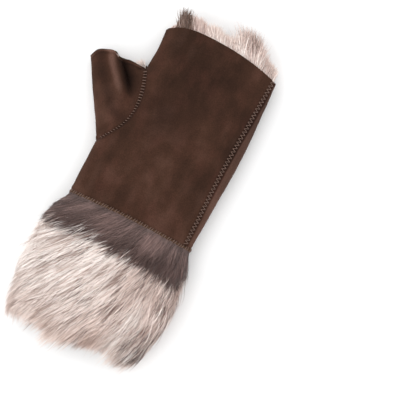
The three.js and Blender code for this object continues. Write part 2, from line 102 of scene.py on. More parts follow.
def pillow(angle):
    # nearly flat across, with round folds at both sides
    across, up = np.cos(angle), np.sin(angle)
    flat, full = 2 / mitten["sectionFlat"], 2 / mitten["sectionRound"]
    return np.sign(across) * np.abs(across) ** flat, np.sign(up) * np.abs(up) ** full


def softNoise(points, size, seed):
    # smooth noise between about -1 and 1, its bumps size apart
    offset = Vector((seed * 17.3, seed * 5.1, seed * 9.7))
    return np.array([noise.noise(Vector(p) / size + offset) for p in points.tolist()]) * 1.6


# Sections of the hand, as shares of halfWrist and handHeight
handLeft = smoothCurve((0, 1), (.1, 1), (.24, 1), (.48, .97), (.66, .86), (.76, .815), (.88, .79), (1, .81))
handRight = smoothCurve(
    (0, 1), (.1, 1.02), (.24, 1.045), (.48, 1.07), (.66, 1.07), (.76, 1.062), (.88, 1.05), (1, 1.033))
handLow = smoothCurve((0, .16), (.1, .05), (.24, -.06), (.48, -.06), (.66, -.06), (.76, -.06), (.88, -.06), (1, -.05))
handHigh = smoothCurve((0, .9), (.1, .95), (.24, 1), (.48, 1), (.66, .98), (.76, .96), (.88, .92), (1, .88))
stripWidth = smoothCurve((0, .105), (.45, .17), (.8, .115), (1, .06))
# x and y as shares of halfWrist and handLength, reach as a share of handLength, depth as a share of handHeight
palmDents = ((-.42, .62, .13, .05), (.3, .34, .16, .04), (.1, .84, .14, .03), (-.55, .14, .1, .045))

# Sections of the thumb, fanned round the crotch
thumb = {
    "start": 48,
    "crotch": 120,
    "length": 71,
    "lean": 31,
    "edgeBow": 10,
    "backEdge": 2.4,
    "seamBulge": 12.5,
    "seamSlant": 0.3,
    "foldDepth": 15,
    "foldSteep": 2.6,  # on the tube's side
    "foldSoft": 4.4,  # on the web's side
    "ridge": 1.6,
    "ridgeAt": 7.5,  # left of the fold
    "ridgeWidth": 3.5,
    "rootBlend": 9,  # distance over which its layers run into the hand's
    "leastHalf": 3.2,  # half the height that its root keeps beside the side fold
    "fullSide": 8,  # how much wider the hand is below the crotch than its outline shows
}
thumbEdge = smoothCurve((0, 0), (.13, .7), (.3, .98), (.385, .98), (.42, .64), (.6, .54), (.8, .3), (1, 0))
foldLine = np.array([(-71, 125), (-66.5, 117), (-59, 108.5), (-51, 99), (-44.5, 91)])
foldShare = smoothCurve((0, .5), (.3, .86), (.55, 1), (.8, .5), (1, 0))  # of its depth along the line
thumbInward = smoothCurve((-.12, .5), (.12, .46), (.36, .4), (.6, .34), (.8, .28), (1, .22))
thumbDown = smoothCurve((-.12, .55), (.12, .42), (.36, .28), (.6, .14), (.8, .05), (1, 0))
thumbLow = smoothCurve((-.12, -.05), (.12, -.05), (.36, -.05), (.6, -.05), (.8, -.05), (1, -.04))
thumbHigh = smoothCurve((-.12, .82), (.12, .85), (.36, .85), (.6, .82), (.8, .79), (1, .76))
crotchX = float(-handLeft(thumb["crotch"] / handLength) * halfWrist)
thumbWay = np.array([-math.sin(math.radians(thumb["lean"])), math.cos(math.radians(thumb["lean"]))])


def softDents(x, y):
    depth = np.zeros_like(x)
    for dx, dy, reach, deep in palmDents:
        away = np.hypot(x - dx * halfWrist, y - dy * handLength) / (reach * handLength)
        depth += deep * handHeight * np.exp(-2 * away * away)
    return depth


def nearLine(x, y, line):
    # signed distance to a bent line, above 0 on its right, and the share of its length there
    best, share, side = np.full(x.shape, 1e9), np.zeros(x.shape), np.ones(x.shape)
    total = np.linalg.norm(np.diff(line, axis=0), axis=1).sum()
    done = 0.0
    for a, b in zip(line[:-1], line[1:]):
        way = b - a
        length = math.hypot(*way)
        t = np.clip(((x - a[0]) * way[0] + (y - a[1]) * way[1]) / length**2, 0, 1)
        away = np.hypot(x - a[0] - t * way[0], y - a[1] - t * way[1])
        left = (x - a[0]) * -way[1] + (y - a[1]) * way[0]
        closer = away < best
        best = np.where(closer, away, best)
        share = np.where(closer, (done + t * length) / total, share)
        side = np.where(closer, np.where(left > 0, 1.0, -1.0), side)
        done += length
    return best * side, share


def thumbFold(x, y):
    # the valley between the thumb's tube and the web, sharp at its bottom, and the ridge along its left
    across, share = nearLine(x, y, foldLine)
    width = np.where(across < 0, thumb["foldSteep"], thumb["foldSoft"])
    valley = np.exp(-np.sqrt((across / width) ** 2 + 0.08) + 0.28)
    ridge = thumb["ridge"] * bell((across + thumb["ridgeAt"]) / thumb["ridgeWidth"])
    return foldShare(share) * (thumb["foldDepth"] * valley - ridge)


def fingerArch(share):
    # the bow of the finger edge, highest left of its middle
    s = np.clip(share, 0, 1)
    peak = 0.36
    return np.where(s > peak, 1 - ((s - peak) / (1 - peak)) ** 2, 1 - ((peak - s) / peak) ** 3)


def fullness(x, along):
    # how full the section is at x, from 0 at its side folds to 1, and fuller where the thumb goes on from the hand
    left, right = -handLeft(along) * halfWrist, handRight(along) * halfWrist
    wider = thumb["fullSide"] * fade(thumb["start"] + 4, thumb["start"] + 22, along * handLength)
    wider = wider * fade(thumb["crotch"] + 3, thumb["crotch"] - 9, along * handLength)
    left = left - wider
    across = np.minimum(np.abs(x - (left + right) / 2) / ((right - left) / 2), 1)
    return (1 - across ** mitten["sectionFlat"]) ** (1 / mitten["sectionRound"])


def handSurface(along, angle, inset=0.0):
    # along runs from the wrist seam (0) to the finger edge (1)
    left, right = -handLeft(along) * halfWrist, handRight(along) * halfWrist
    low, high = handLow(along) * handHeight, handHigh(along) * handHeight
    across, up = pillow(angle)
    x = (left + right) / 2 + across * ((right - left) / 2 - inset)
    arch = mitten["fingerEdgeBow"] * along * np.abs(along) * fingerArch((x - left) / (right - left))
    bow = mitten["wristSeamBow"] * np.maximum(0, 1 - (x / halfWrist) ** 2)
    y = along * handLength + arch + (1 - along) * bow
    full = np.sign(up) * np.maximum(fullness(x, along), np.abs(up))
    up = up + (full - up) * fade(-10, -30, x)
    z = (low + high) / 2 + up * ((high - low) / 2 - inset)
    z = z - np.maximum(up, 0) * (softDents(x, y) + thumbFold(x, y))
    return np.stack([x, y, np.maximum(z, inset)], axis=-1)


def palmHeights(x, y):
    # heights of the palm and of the back over a point, without the thumb's fold
    along = np.clip(y / handLength, 0, 1)
    low, high = handLow(along) * handHeight, handHigh(along) * handHeight
    up = fullness(x, along)
    return (low + high) / 2 + up * ((high - low) / 2 - softDents(x, y)), (low + high) / 2 - up * (high - low) / 2


# The thumb's seam, one arc from the left fold to the crotch
seamTop = 0.85 * handHeight
farLeft, farUp = -300, 400  # well outside the mitten
seamStart = np.array([-halfWrist, thumb["start"]])
seamEnd = np.array([crotchX, thumb["crotch"]])
seamOut = np.array([seamEnd[1] - seamStart[1], seamStart[0] - seamEnd[0]])
seamControl = (seamStart + seamEnd) / 2 + 2 * thumb["seamBulge"] * seamOut / math.hypot(*seamOut)
seamT = np.linspace(0, 1, 49)[:, None]
seamCurve = (1 - seamT) ** 2 * seamStart + 2 * seamT * (1 - seamT) * seamControl + seamT**2 * seamEnd


def seamSlant(y):
    # the seam leans outwards under the palm, and stands straight near its ends
    ends = fade(thumb["crotch"] - 8, thumb["crotch"] - 40, y) * fade(thumb["start"] + 2, thumb["start"] + 24, y)
    return thumb["seamSlant"] * ends


def thumbSide(x, y, z):
    # signed distance to the thumb seam, above 0 on the thumb's side
    x = x + seamSlant(y) * (seamTop - z)
    line = np.vstack([[farLeft, thumb["start"]], seamCurve, [crotchX, farUp]])
    best = np.full(x.shape, 1e9)
    for a, b in zip(line[:-1], line[1:]):
        way = b - a
        t = np.clip(((x - a[0]) * way[0] + (y - a[1]) * way[1]) / (way @ way), 0, 1)
        best = np.minimum(best, np.hypot(x - a[0] - t * way[0], y - a[1] - t * way[1]))
    ring = np.vstack([line, [farLeft, farUp]])
    inside = np.zeros(x.shape, bool)
    for a, b in zip(ring, np.roll(ring, -1, axis=0)):
        crosses = (a[1] > y) != (b[1] > y)
        reach = a[0] + (y - a[1]) * (b[0] - a[0]) / (b[1] - a[1] if b[1] != a[1] else 1e-9)
        inside ^= crosses & (x < reach)
    return np.where(inside, best, -best)


def thumbSurface(along, angle, inset=0.0):
    # along runs from the thumb's root (0) to its cut edge (1)
    inner = np.stack([crotchX + thumbInward(along) * halfWrist, thumb["crotch"] * (1 - thumbDown(along))], axis=-1)
    outer = seamStart + thumbWay * (along * thumb["length"])[..., None]
    inner = inner + thumbWay * (np.maximum(along - 1, 0) * thumb["length"])[..., None]
    low, high = thumbLow(along) * handHeight, thumbHigh(along) * handHeight
    across, up = pillow(angle)
    side = (inner - outer) / 2
    half = np.linalg.norm(side, axis=-1)
    place = (inner + outer) / 2 + side * (across * (1 - inset / half))[..., None]
    grown = np.maximum(along, 0) ** 3
    arch = thumb["edgeBow"] * grown * thumbEdge((1 + across) / 2)
    place = place + thumbWay * (arch + grown * thumb["backEdge"] * (1 - up) / 2)[..., None]
    x, y = place[..., 0], place[..., 1]
    z = (low + high) / 2 + up * ((high - low) / 2 - inset)
    # both layers run into the hand without a step
    palm, back = palmHeights(x, y)
    middle = (palm + back) / 2
    palm = np.maximum(palm, middle + thumb["leastHalf"])
    back = np.minimum(back, middle - thumb["leastHalf"])
    near = fade(0, thumb["rootBlend"], thumbSide(x, y, z))
    upper, lower = fade(0.05, 0.5, up), fade(-0.05, -0.5, up)
    z = z + upper * (1 - near) * (palm - inset - z) + lower * (1 - near) * (back + inset - z)
    z = z - np.maximum(up, 0) * thumbFold(x, y)
    return np.stack([x, y, np.maximum(z, inset)], axis=-1)


# Sections between the hide and the tips of the fur, from the wrist seam (0) to the lowest tips (1)
hideWide = smoothCurve((0, 1), (.64, 1.03), (.74, .99), (.84, .96), (1.05, .86))
hideLow = smoothCurve((0, .16), (.64, .19), (.74, .16), (.84, .14), (1.05, .16))
hideHigh = smoothCurve((0, .9), (.64, .93), (.74, .93), (.84, .86), (1.05, .6))
furWide = smoothCurve(
    (0, 1.015), (.1, 1.12), (.27, 1.23), (.44, 1.25), (.62, 1.22), (.74, 1.17), (.84, 1.12), (1.05, 1.0))
# its left side lies closer in
furLeft = smoothCurve((0, .98), (.1, .935), (.27, .95), (.5, .945), (.7, .95), (1.05, .96))
furLow = smoothCurve((0, .1), (.1, -.02), (.27, -.12), (.44, -.14), (.62, -.12), (.74, -.07), (.84, -.03), (1.05, 0))
furHigh = smoothCurve(
    (0, .95), (.1, 1.14), (.27, 1.32), (.44, 1.36), (.62, 1.3), (.74, 1.18), (.84, 1.06), (1.05, .74))
seamGap = 0.3  # between the hand's edge and the cuff's


def furSurface(below, angle, height):
    # below is the distance from the wrist seam, height 0 on the hide and 1 at the fur's outside
    share = below / furLength
    wide = (hideWide(share) * (1 - height) + furWide(share) * height) * halfWrist
    low = (hideLow(share) * (1 - height) + furLow(share) * height) * handHeight
    high = (hideHigh(share) * (1 - height) + furHigh(share) * height) * handHeight
    across, up = pillow(angle)
    wide = wide * (1 + (furLeft(share) - 1) * height * fade(0.1, -0.7, across))
    x = across * wide
    bow = mitten["wristSeamBow"] * np.maximum(0, 1 - (x / halfWrist) ** 2)
    return np.stack([x, (1 - share) * bow - below - seamGap, (low + high) / 2 + up * (high - low) / 2], axis=-1)


fineAngles = np.linspace(0, 2 * np.pi, 1441)


def outline(halfWide, halfTall):
    # length along a pillow section at each of the fine angles
    across, up = pillow(fineAngles)
    steps = np.hypot(np.diff(across) * halfWide, np.diff(up) * halfTall)
    return np.concatenate([[0], np.cumsum(steps)])


cuffOutline = outline(halfWrist, 0.4 * handHeight)
cuffPerimeter = cuffOutline[-1]


def angleAround(distance):
    # angle at a distance round the cuff, from its right fold over the palm
    return np.interp(distance % cuffPerimeter, cuffOutline, fineAngles)


def toFrame(points):
    # own millimetres to the frame's metres
    return (np.asarray(points, float) + ownOrigin) / 1000


def newPiece(name, mesh, materials):
    piece = bpy.data.objects.new(name, mesh)
    bpy.context.scene.collection.objects.link(piece)
    for material in materials:
        mesh.materials.append(material)
    return piece


def gridMesh(name, rings, reverse=False):
    # a skin through closed rings of points
    count, around = rings.shape[:2]
    i, j = np.meshgrid(np.arange(count - 1), np.arange(around), indexing="ij")
    k = (j + 1) % around
    quads = np.stack([i * around + j, (i + 1) * around + j, (i + 1) * around + k, i * around + k], axis=-1)
    if reverse:
        quads = quads[..., ::-1]
    mesh = bpy.data.meshes.new(name)
    mesh.from_pydata(toFrame(rings.reshape(-1, 3)).tolist(), [], quads.reshape(-1, 4).tolist())
    mesh.update()
    return mesh


def ownPoints(mesh):
    points = np.zeros(len(mesh.vertices) * 3)
    mesh.vertices.foreach_get("co", points)
    return points.reshape(-1, 3) * 1000 - ownOrigin


def ownNormals(mesh):
    normals = np.zeros(len(mesh.vertices) * 3)
    mesh.vertices.foreach_get("normal", normals)
    return normals.reshape(-1, 3)


def movePoints(mesh, points):
    mesh.vertices.foreach_set("co", toFrame(points).ravel())
    mesh.update()


def smoothFaces(mesh):
    mesh.polygons.foreach_set("use_smooth", np.ones(len(mesh.polygons), bool))


def weld(mesh):
    # joins the first and last ring where they meet
    bm = bmesh.new()
    bm.from_mesh(mesh)
    bmesh.ops.remove_doubles(bm, verts=bm.verts[:], dist=1e-6)
    bm.to_mesh(mesh)
    bm.free()


def writeMap(mesh, layer, u, v):
    values = np.stack([u, v], axis=-1).astype(np.float32)
    mesh.uv_layers.new(name=layer).data.foreach_set("uv", values.ravel())


def trimSkin(mesh, distance, fineWithin):
    # keeps what lies where distance is above 0, after halving the edges near the cut
    bm = bmesh.new()
    bm.from_mesh(mesh)
    home = bm.verts.layers.float_vector.new("home")
    for vert, far in zip(bm.verts, distance(ownPoints(mesh))):
        vert[home] = vert.co
        vert.co.z = far / 1000
    everything = bm.verts[:] + bm.edges[:] + bm.faces[:]
    bmesh.ops.bisect_plane(bm, geom=everything, dist=2e-5, plane_co=(0, 0, 0), plane_no=(0, 0, 1), clear_inner=True)
    near = [e for e in bm.edges if all(v.co.z * 1000 < fineWithin for v in e.verts) and not e.is_boundary]
    for vert in bm.verts:
        vert.co = vert[home]
    bmesh.ops.subdivide_edges(bm, edges=near, cuts=1, use_grid_fill=True)
    bm.verts.layers.float_vector.remove(bm.verts.layers.float_vector["home"])
    bmesh.ops.triangulate(bm, faces=[f for f in bm.faces if len(f.verts) > 4])
    bm.to_mesh(mesh)
    bm.free()
    mesh.update()


def makeHide(piece, thickness):
    # gives a skin its thickness inwards, and crisp cut edges
    solid = piece.modifiers.new("hide", "SOLIDIFY")
    solid.thickness = thickness / 1000
    solid.offset = -1
    solid.use_quality_normals = True
    solid.material_offset = 1
    solid.material_offset_rim = 2
    settle(piece)
    piece.data.set_sharp_from_angle(angle=math.radians(50))


def settle(piece):
    # applies the modifiers
    graph = bpy.context.evaluated_depsgraph_get()
    made = bpy.data.meshes.new_from_object(piece.evaluated_get(graph))
    old = piece.data
    piece.modifiers.clear()
    piece.data = made
    made.name = piece.name
    bpy.data.meshes.remove(old)
    smoothFaces(made)


def linear(colour):
    # sRGB hex to the linear values that a node takes
    parts = [int(colour[i:i + 2], 16) / 255 for i in (1, 3, 5)]
    return tuple(p / 12.92 if p <= 0.04045 else ((p + 0.055) / 1.055) ** 2.4 for p in parts) + (1.0,)


def addNode(material, kind, settings=None, **links):
    # a node with its settings, and a value or another node's socket for each of its inputs
    tree = material.node_tree
    made = tree.nodes.new(kind)
    for name, value in (settings or {}).items():
        if name == "stops":
            ramp = made.color_ramp.elements
            for place, colour in value[1:-1]:
                ramp.new(place).color = colour
            ramp[0].position, ramp[0].color = value[0]
            ramp[-1].position, ramp[-1].color = value[-1]
        else:
            setattr(made, name, value)
    for name, value in links.items():
        numbered = name.startswith("in") and name[2:].isdigit()
        socket = made.inputs[int(name[2:]) if numbered else name.replace("_", " ")]
        if isinstance(value, bpy.types.NodeSocket):
            tree.links.new(value, socket)
        else:
            socket.default_value = value
    return made


def newMaterial(name):
    material = bpy.data.materials.new(name)
    material.use_nodes = True
    material.node_tree.nodes.clear()
    return material


def finishMaterial(material, normal=None, **shader):
    if normal is not None:
        shader["Normal"] = normal
    surface = addNode(material, "ShaderNodeBsdfPrincipled", None, **shader)
    addNode(material, "ShaderNodeOutputMaterial", None, Surface=surface.outputs[0])
    return material


# Sheepskin suede: the flesh side, sanded to a short nap. The nap lies in soft patches that look darker or redder,
# and the sheen of its fibres lightens what turns away from the eye.
# Light and shade along its seams, folds and the thumb's edge are painted into the colour from the skin's map
suedeLook = {
    "dark": "#301f17",
    "middle": "#402a20",
    "light": "#533a30",
    # colours that the skin's map mixes in: a lighter one for painted light, a darker one for painted shade, for
    # darker palm patches and for the nap's darker spots
    "worn": "#6e5248",
    "shadeAndDarkNap": "#21140f",
    "red": "#4b2d25",
    "sheen": "#b08f80",
    "patchSize": 42,
    "rubSize": 11,
    "grainSize": 1.1,  # nap fibres are 0.1 mm, drawn coarser to show
    "napDepth": 0.4,
    "lighterToDarker": (30, 120),  # y between which the nap turns from light, at the wrist, to dark
    "thumbSide": (-62, -38),  # x between which it turns from the thumb's lighter nap to the palm's
}


def suedeMaterial(name, look):
    material = newMaterial(name)
    place = addNode(material, "ShaderNodeTexCoord").outputs["Object"]
    patches = addNode(material, "ShaderNodeTexNoise", None, Vector=place, Scale=1000 / look["patchSize"],
                      Detail=3.0, Roughness=0.55)
    stretch = addNode(material, "ShaderNodeMapping", None, Vector=place,
                      Scale=(1.0, 0.45, 1.0), Rotation=(0, 0, 0.25))
    rubs = addNode(material, "ShaderNodeTexNoise", None, Vector=stretch.outputs[0], Scale=1000 / look["rubSize"],
                   Detail=4.0, Roughness=0.6)
    grain = addNode(material, "ShaderNodeTexNoise", None, Vector=place, Scale=1000 / look["grainSize"],
                    Detail=3.0, Roughness=0.7)
    split = addNode(material, "ShaderNodeSeparateXYZ", None, Vector=place)
    # lighter towards the wrist and the thumb
    wristEnd, fingerEnd = ((ownOrigin[1] + y) / 1000 for y in look["lighterToDarker"])
    thumbEnd, palmEnd = ((ownOrigin[0] + x) / 1000 for x in look["thumbSide"])
    lengthwise = addNode(material, "ShaderNodeMapRange", {"interpolation_type": "SMOOTHSTEP"}, Value=split.outputs[1],
                         From_Min=wristEnd, From_Max=fingerEnd, To_Min=0.07, To_Max=-0.1)
    crosswise = addNode(material, "ShaderNodeMapRange", {"interpolation_type": "SMOOTHSTEP"}, Value=split.outputs[0],
                        From_Min=thumbEnd, From_Max=palmEnd, To_Min=0.15, To_Max=0.0)
    shade = addNode(material, "ShaderNodeMath", {"operation": "ADD"},
                    in0=patches.outputs[0], in1=lengthwise.outputs[0])
    shade = addNode(material, "ShaderNodeMath", {"operation": "ADD"}, in0=shade.outputs[0], in1=crosswise.outputs[0])
    shade = addNode(material, "ShaderNodeMath", {"operation": "MULTIPLY_ADD"},
                    in0=rubs.outputs[0], in1=0.32, in2=shade.outputs[0])
    base = addNode(material, "ShaderNodeValToRGB", {"stops": [
        (0.46, linear(look["dark"])),
        (0.72, linear(look["middle"])),
        (0.93, linear(look["light"])),
    ]}, Fac=shade.outputs[0])
    redness = addNode(material, "ShaderNodeMapRange", None, Value=rubs.outputs[0],
                      From_Min=0.48, From_Max=0.72, To_Min=0.0, To_Max=0.36)
    warm = addNode(material, "ShaderNodeMix", {"data_type": "RGBA"},
                   in0=redness.outputs[0], in6=base.outputs[0], in7=linear(look["red"]))
    # the skin's own map: painted light above 0 and painted shade below 0, with darker palm patches and the nap's
    # random tone
    rub = addNode(material, "ShaderNodeAttribute", {"attribute_name": "rub"}).outputs["Fac"]
    worn = addNode(material, "ShaderNodeMapRange", None, Value=rub,
                   From_Min=0.0, From_Max=1.0, To_Min=0.0, To_Max=1.0)
    shadeAndDarkNap = addNode(material, "ShaderNodeMapRange", None, Value=rub,
                      From_Min=-1.0, From_Max=0.0, To_Min=1.0, To_Max=0.0)
    warm = addNode(material, "ShaderNodeMix", {"data_type": "RGBA"},
                   in0=worn.outputs[0], in6=warm.outputs[2], in7=linear(look["worn"]))
    warm = addNode(material, "ShaderNodeMix", {"data_type": "RGBA"},
                   in0=shadeAndDarkNap.outputs[0], in6=warm.outputs[2], in7=linear(look["shadeAndDarkNap"]))
    speck = addNode(material, "ShaderNodeMapRange", None, Value=grain.outputs[0],
                    From_Min=0.3, From_Max=0.7, To_Min=0.78, To_Max=1.22)
    colour = addNode(material, "ShaderNodeMix", {"data_type": "RGBA", "blend_type": "MULTIPLY"},
                     in0=1.0, in6=warm.outputs[2], in7=speck.outputs[0])
    nap = addNode(material, "ShaderNodeBump", None, Strength=0.35, Distance=look["napDepth"] / 1000,
                  Height=grain.outputs[0])
    return finishMaterial(material, nap.outputs[0], Base_Color=colour.outputs[2], Roughness=0.92, IOR=1.45,
                          Specular_IOR_Level=0.12, Sheen_Weight=0.1, Sheen_Roughness=0.4,
                          Sheen_Tint=linear(look["sheen"]))


# Raw cut edge of tanned hide: sliced with a knife, so it is fibrous and matt, with its dark and light colours given.
edgeLook = {"fibreSize": 0.8, "fibreDepth": 0.4}


def cutEdgeMaterial(name, dark, light):
    material = newMaterial(name)
    place = addNode(material, "ShaderNodeTexCoord").outputs["Object"]
    fibres = addNode(material, "ShaderNodeTexNoise", None, Vector=place,
                     Scale=1000 / edgeLook["fibreSize"], Detail=2.0)
    colour = addNode(material, "ShaderNodeValToRGB", {"stops": [(0.3, linear(dark)), (0.7, linear(light))]},
                     Fac=fibres.outputs[0])
    rough = addNode(material, "ShaderNodeBump", None, Strength=0.6, Distance=edgeLook["fibreDepth"] / 1000,
                    Height=fibres.outputs[0])
    return finishMaterial(material, rough.outputs[0], Base_Color=colour.outputs[0], Roughness=0.95, IOR=1.45,
                          Specular_IOR_Level=0.2)


# Long sheepskin hair, dyed dark beside the seam and bleached pale below. Each hair is smooth and a little glossy,
# locks differ in tone, roots are duller and tips browner.
furLook = {
    "bandRoot": "#7a625d",
    "bandTip": "#57413c",
    "streak": "#654941",
    "taupe": "#b99c91",
    "pale": "#f2e1d9",
    "bright": "#fff7f2",
    "tip": "#bd9b89",
    "bandBlend": 3.0,  # over which the band turns pale, on both sides of its edge
}


def furMaterial(name, look):
    material = newMaterial(name)
    # strand: share of the hair's length, shade. lock: tone, brownness of the tips.
    # place: distance below the seam, and the same less the band's depth there, both as shares of the fur's length
    maps = {layer: addNode(material, "ShaderNodeUVMap", {"uv_map": layer}) for layer in ("strand", "lock", "place")}
    strand, lock, place = (
        addNode(material, "ShaderNodeSeparateXYZ", None, Vector=node.outputs[0]) for node in maps.values())
    band = addNode(material, "ShaderNodeMapRange", {"interpolation_type": "SMOOTHSTEP"}, Value=place.outputs[1],
                   From_Min=-look["bandBlend"] / furLength, From_Max=look["bandBlend"] / furLength,
                   To_Min=0.0, To_Max=1.0)
    down = addNode(material, "ShaderNodeMapRange", {"interpolation_type": "SMOOTHSTEP"}, Value=place.outputs[0],
                   From_Min=0.03, From_Max=0.24, To_Min=0.0, To_Max=1.0)
    down = addNode(material, "ShaderNodeMath", {"operation": "SUBTRACT"}, in0=down.outputs[0], in1=strand.outputs[1])
    down = addNode(material, "ShaderNodeMath", {"operation": "ADD", "use_clamp": True}, in0=down.outputs[0], in1=0.5)
    dark = addNode(material, "ShaderNodeMix", {"data_type": "RGBA"},
                   in0=down.outputs[0], in6=linear(look["bandRoot"]), in7=linear(look["bandTip"]))
    pale = addNode(material, "ShaderNodeValToRGB", {"stops": [
        (0.05, linear(look["streak"])),
        (0.32, linear(look["taupe"])),
        (0.62, linear(look["pale"])),
        (1.0, linear(look["bright"])),
    ]}, Fac=lock.outputs[0])
    ends = addNode(material, "ShaderNodeMapRange", {"interpolation_type": "SMOOTHSTEP"}, Value=strand.outputs[0],
                   From_Min=0.6, From_Max=1.0, To_Min=0.0, To_Max=1.0)
    ends = addNode(material, "ShaderNodeMath", {"operation": "MULTIPLY"}, in0=ends.outputs[0], in1=lock.outputs[1])
    tipped = addNode(material, "ShaderNodeMix", {"data_type": "RGBA"},
                     in0=ends.outputs[0], in6=pale.outputs[0], in7=linear(look["tip"]))
    joined = addNode(material, "ShaderNodeMix", {"data_type": "RGBA"},
                     in0=band.outputs[0], in6=dark.outputs[2], in7=tipped.outputs[2])
    # each hair's shade and its darker root
    swing = addNode(material, "ShaderNodeMapRange", None, Value=band.outputs[0],
                    From_Min=0.0, From_Max=1.0, To_Min=0.75, To_Max=0.6)
    vary = addNode(material, "ShaderNodeMath", {"operation": "SUBTRACT"}, in0=strand.outputs[1], in1=0.5)
    vary = addNode(material, "ShaderNodeMath", {"operation": "MULTIPLY_ADD"},
                   in0=vary.outputs[0], in1=swing.outputs[0], in2=1.0)
    roots = addNode(material, "ShaderNodeMapRange", {"interpolation_type": "SMOOTHSTEP"}, Value=strand.outputs[0],
                    From_Min=0.0, From_Max=0.4, To_Min=0.6, To_Max=1.0)
    depth = addNode(material, "ShaderNodeMath", {"operation": "MULTIPLY"}, in0=vary.outputs[0], in1=roots.outputs[0])
    colour = addNode(material, "ShaderNodeMix", {"data_type": "RGBA", "blend_type": "MULTIPLY"},
                     in0=1.0, in6=joined.outputs[2], in7=depth.outputs[0])
    return finishMaterial(material, None, Base_Color=colour.outputs[2], Roughness=0.5, IOR=1.55,
                          Specular_IOR_Level=0.35, Sheen_Weight=0.4, Sheen_Roughness=0.4)


# Waxed polyester thread, twisted from three plies, which shows as fine slanting ridges.
threadLook = {"dark": "#4c3a31", "light": "#7c6155", "plySpacing": 0.5, "plyDepth": 0.1}


def threadMaterial(name, look):
    material = newMaterial(name)
    place = addNode(material, "ShaderNodeTexCoord").outputs["Object"]
    plies = addNode(material, "ShaderNodeTexWave", {"bands_direction": "DIAGONAL"}, Vector=place,
                    Scale=1000 / look["plySpacing"], Distortion=1.0)
    colour = addNode(material, "ShaderNodeValToRGB", {"stops": [
        (0.1, linear(look["dark"])),
        (0.8, linear(look["light"])),
    ]}, Fac=plies.outputs[0])
    twist = addNode(material, "ShaderNodeBump", None, Strength=0.4, Distance=look["plyDepth"] / 1000,
                    Height=plies.outputs[0])
    return finishMaterial(material, twist.outputs[0], Base_Color=colour.outputs[0], Roughness=0.55, IOR=1.5,
                          Specular_IOR_Level=0.35)


suede = suedeMaterial("sandedSuede", suedeLook)
# Tanned hide on its inner side: scraped and never sanded, so it is the suede's brown, but darker and duller.
innerHide = suedeMaterial("innerHide", {**suedeLook, "dark": "#2c1f18", "middle": "#3a2a21", "light": "#4a372d"})
# the hand's, thumb's and cuff's cut edges, darker than the nap: painted shade on the narrow edge
shadedCutEdge = cutEdgeMaterial("shadedCutEdge", "#20130e", "#49332a")
# The same cut edge rolled over at the wrist, where thread and hand have rubbed it paler.
weltEdge = cutEdgeMaterial("weltEdge", "#35241a", "#5d4534")
longHair = furMaterial("longHair", furLook)
thread = threadMaterial("waxedThread", threadLook)
print("materials made")

# The suede hand
panel = {
    "rings": 112,
    "restColumns": 150,
    # columns beside the side seam, as distances from it
    "seamColumns": (0, 0.4, 0.8, 1.2, 1.7, 2.2, 2.8, 3.4, 4.2, 5.2, 6.4, 8),
    "grooveDepth": 0.9,
    "grooveWidth": 0.85,
    "rollHeight": 0.45,
    "rollAt": 2.6,
    "rollWidth": 1.4,
    "puckerHeight": 0.22,
    "puckerPitch": 6.8,
    "thumbPuckerPitch": 8,
    "puckerReach": 5,
    "wristPuckerHeight": 0.4,
    "wristPuckerPitch": 11,
    "waves": ((0.45, 30, 1), (0.16, 10, 2)),  # height, size and seed
    "seamHalfGap": 0.08,
    "fineBesideCut": 4.0,
}
seamOffsets = np.array([-away for away in panel["seamColumns"][:0:-1]] + list(panel["seamColumns"]))


def sideSeamX(along):
    return (handRight(along) - stripWidth(along)) * halfWrist


def seamProfile(away):
    # a groove with a soft roll on each side
    roll = panel["rollHeight"] * bell((np.abs(away) - panel["rollAt"]) / panel["rollWidth"])
    return roll - panel["grooveDepth"] * bell(away / panel["grooveWidth"])


def suedeRelief(points, up):
    # soft waves of lying hide, and what the seams do to it
    x, y, z = points.T
    relief = sum(height * softNoise(points, size, seed) for height, size, seed in panel["waves"])
    top = fade(0.1, 0.5, up)
    wander = 1.2 * softNoise(points, 14, 3)
    side = x - sideSeamX(np.clip(y / handLength, 0, 1))
    around = thumbSide(x, y, z)
    for away, run, pitch in ((side, y, panel["puckerPitch"]), (around, y - x, panel["thumbPuckerPitch"])):
        puckers = panel["puckerHeight"] * np.sin(2 * np.pi * run / pitch + wander)
        relief += top * (seamProfile(away) + puckers * bell(away / panel["puckerReach"]))
    # the hide dips to the wrist seam over a soft roll, gathered by the thread
    wrist = y - mitten["wristSeamBow"] * np.maximum(0, 1 - (x / halfWrist) ** 2)
    relief += 0.5 * bell((wrist - 3.4) / 1.8) - 0.9 * bell(wrist / 1.3)
    gathers = np.sin(2 * np.pi * x / panel["wristPuckerPitch"] + 2 * wander)
    relief += panel["wristPuckerHeight"] * gathers * np.exp(-np.maximum(wrist, 0) / 8)
    return relief


def thumbRim(x, y):
    # how far a point lies inside the thumb's mouth
    outer = seamStart + thumbWay * thumb["length"]
    chord = np.array([crotchX + float(thumbInward(1)) * halfWrist, thumb["crotch"]]) - outer
    across = thumbWay[1] * chord[0] - thumbWay[0] * chord[1]
    share = (thumbWay[1] * (x - outer[0]) - thumbWay[0] * (y - outer[1])) / across
    past = (x - outer[0] - share * chord[0]) * thumbWay[0] + (y - outer[1] - share * chord[1]) * thumbWay[1]
    return thumb["edgeBow"] * thumbEdge(share) - past


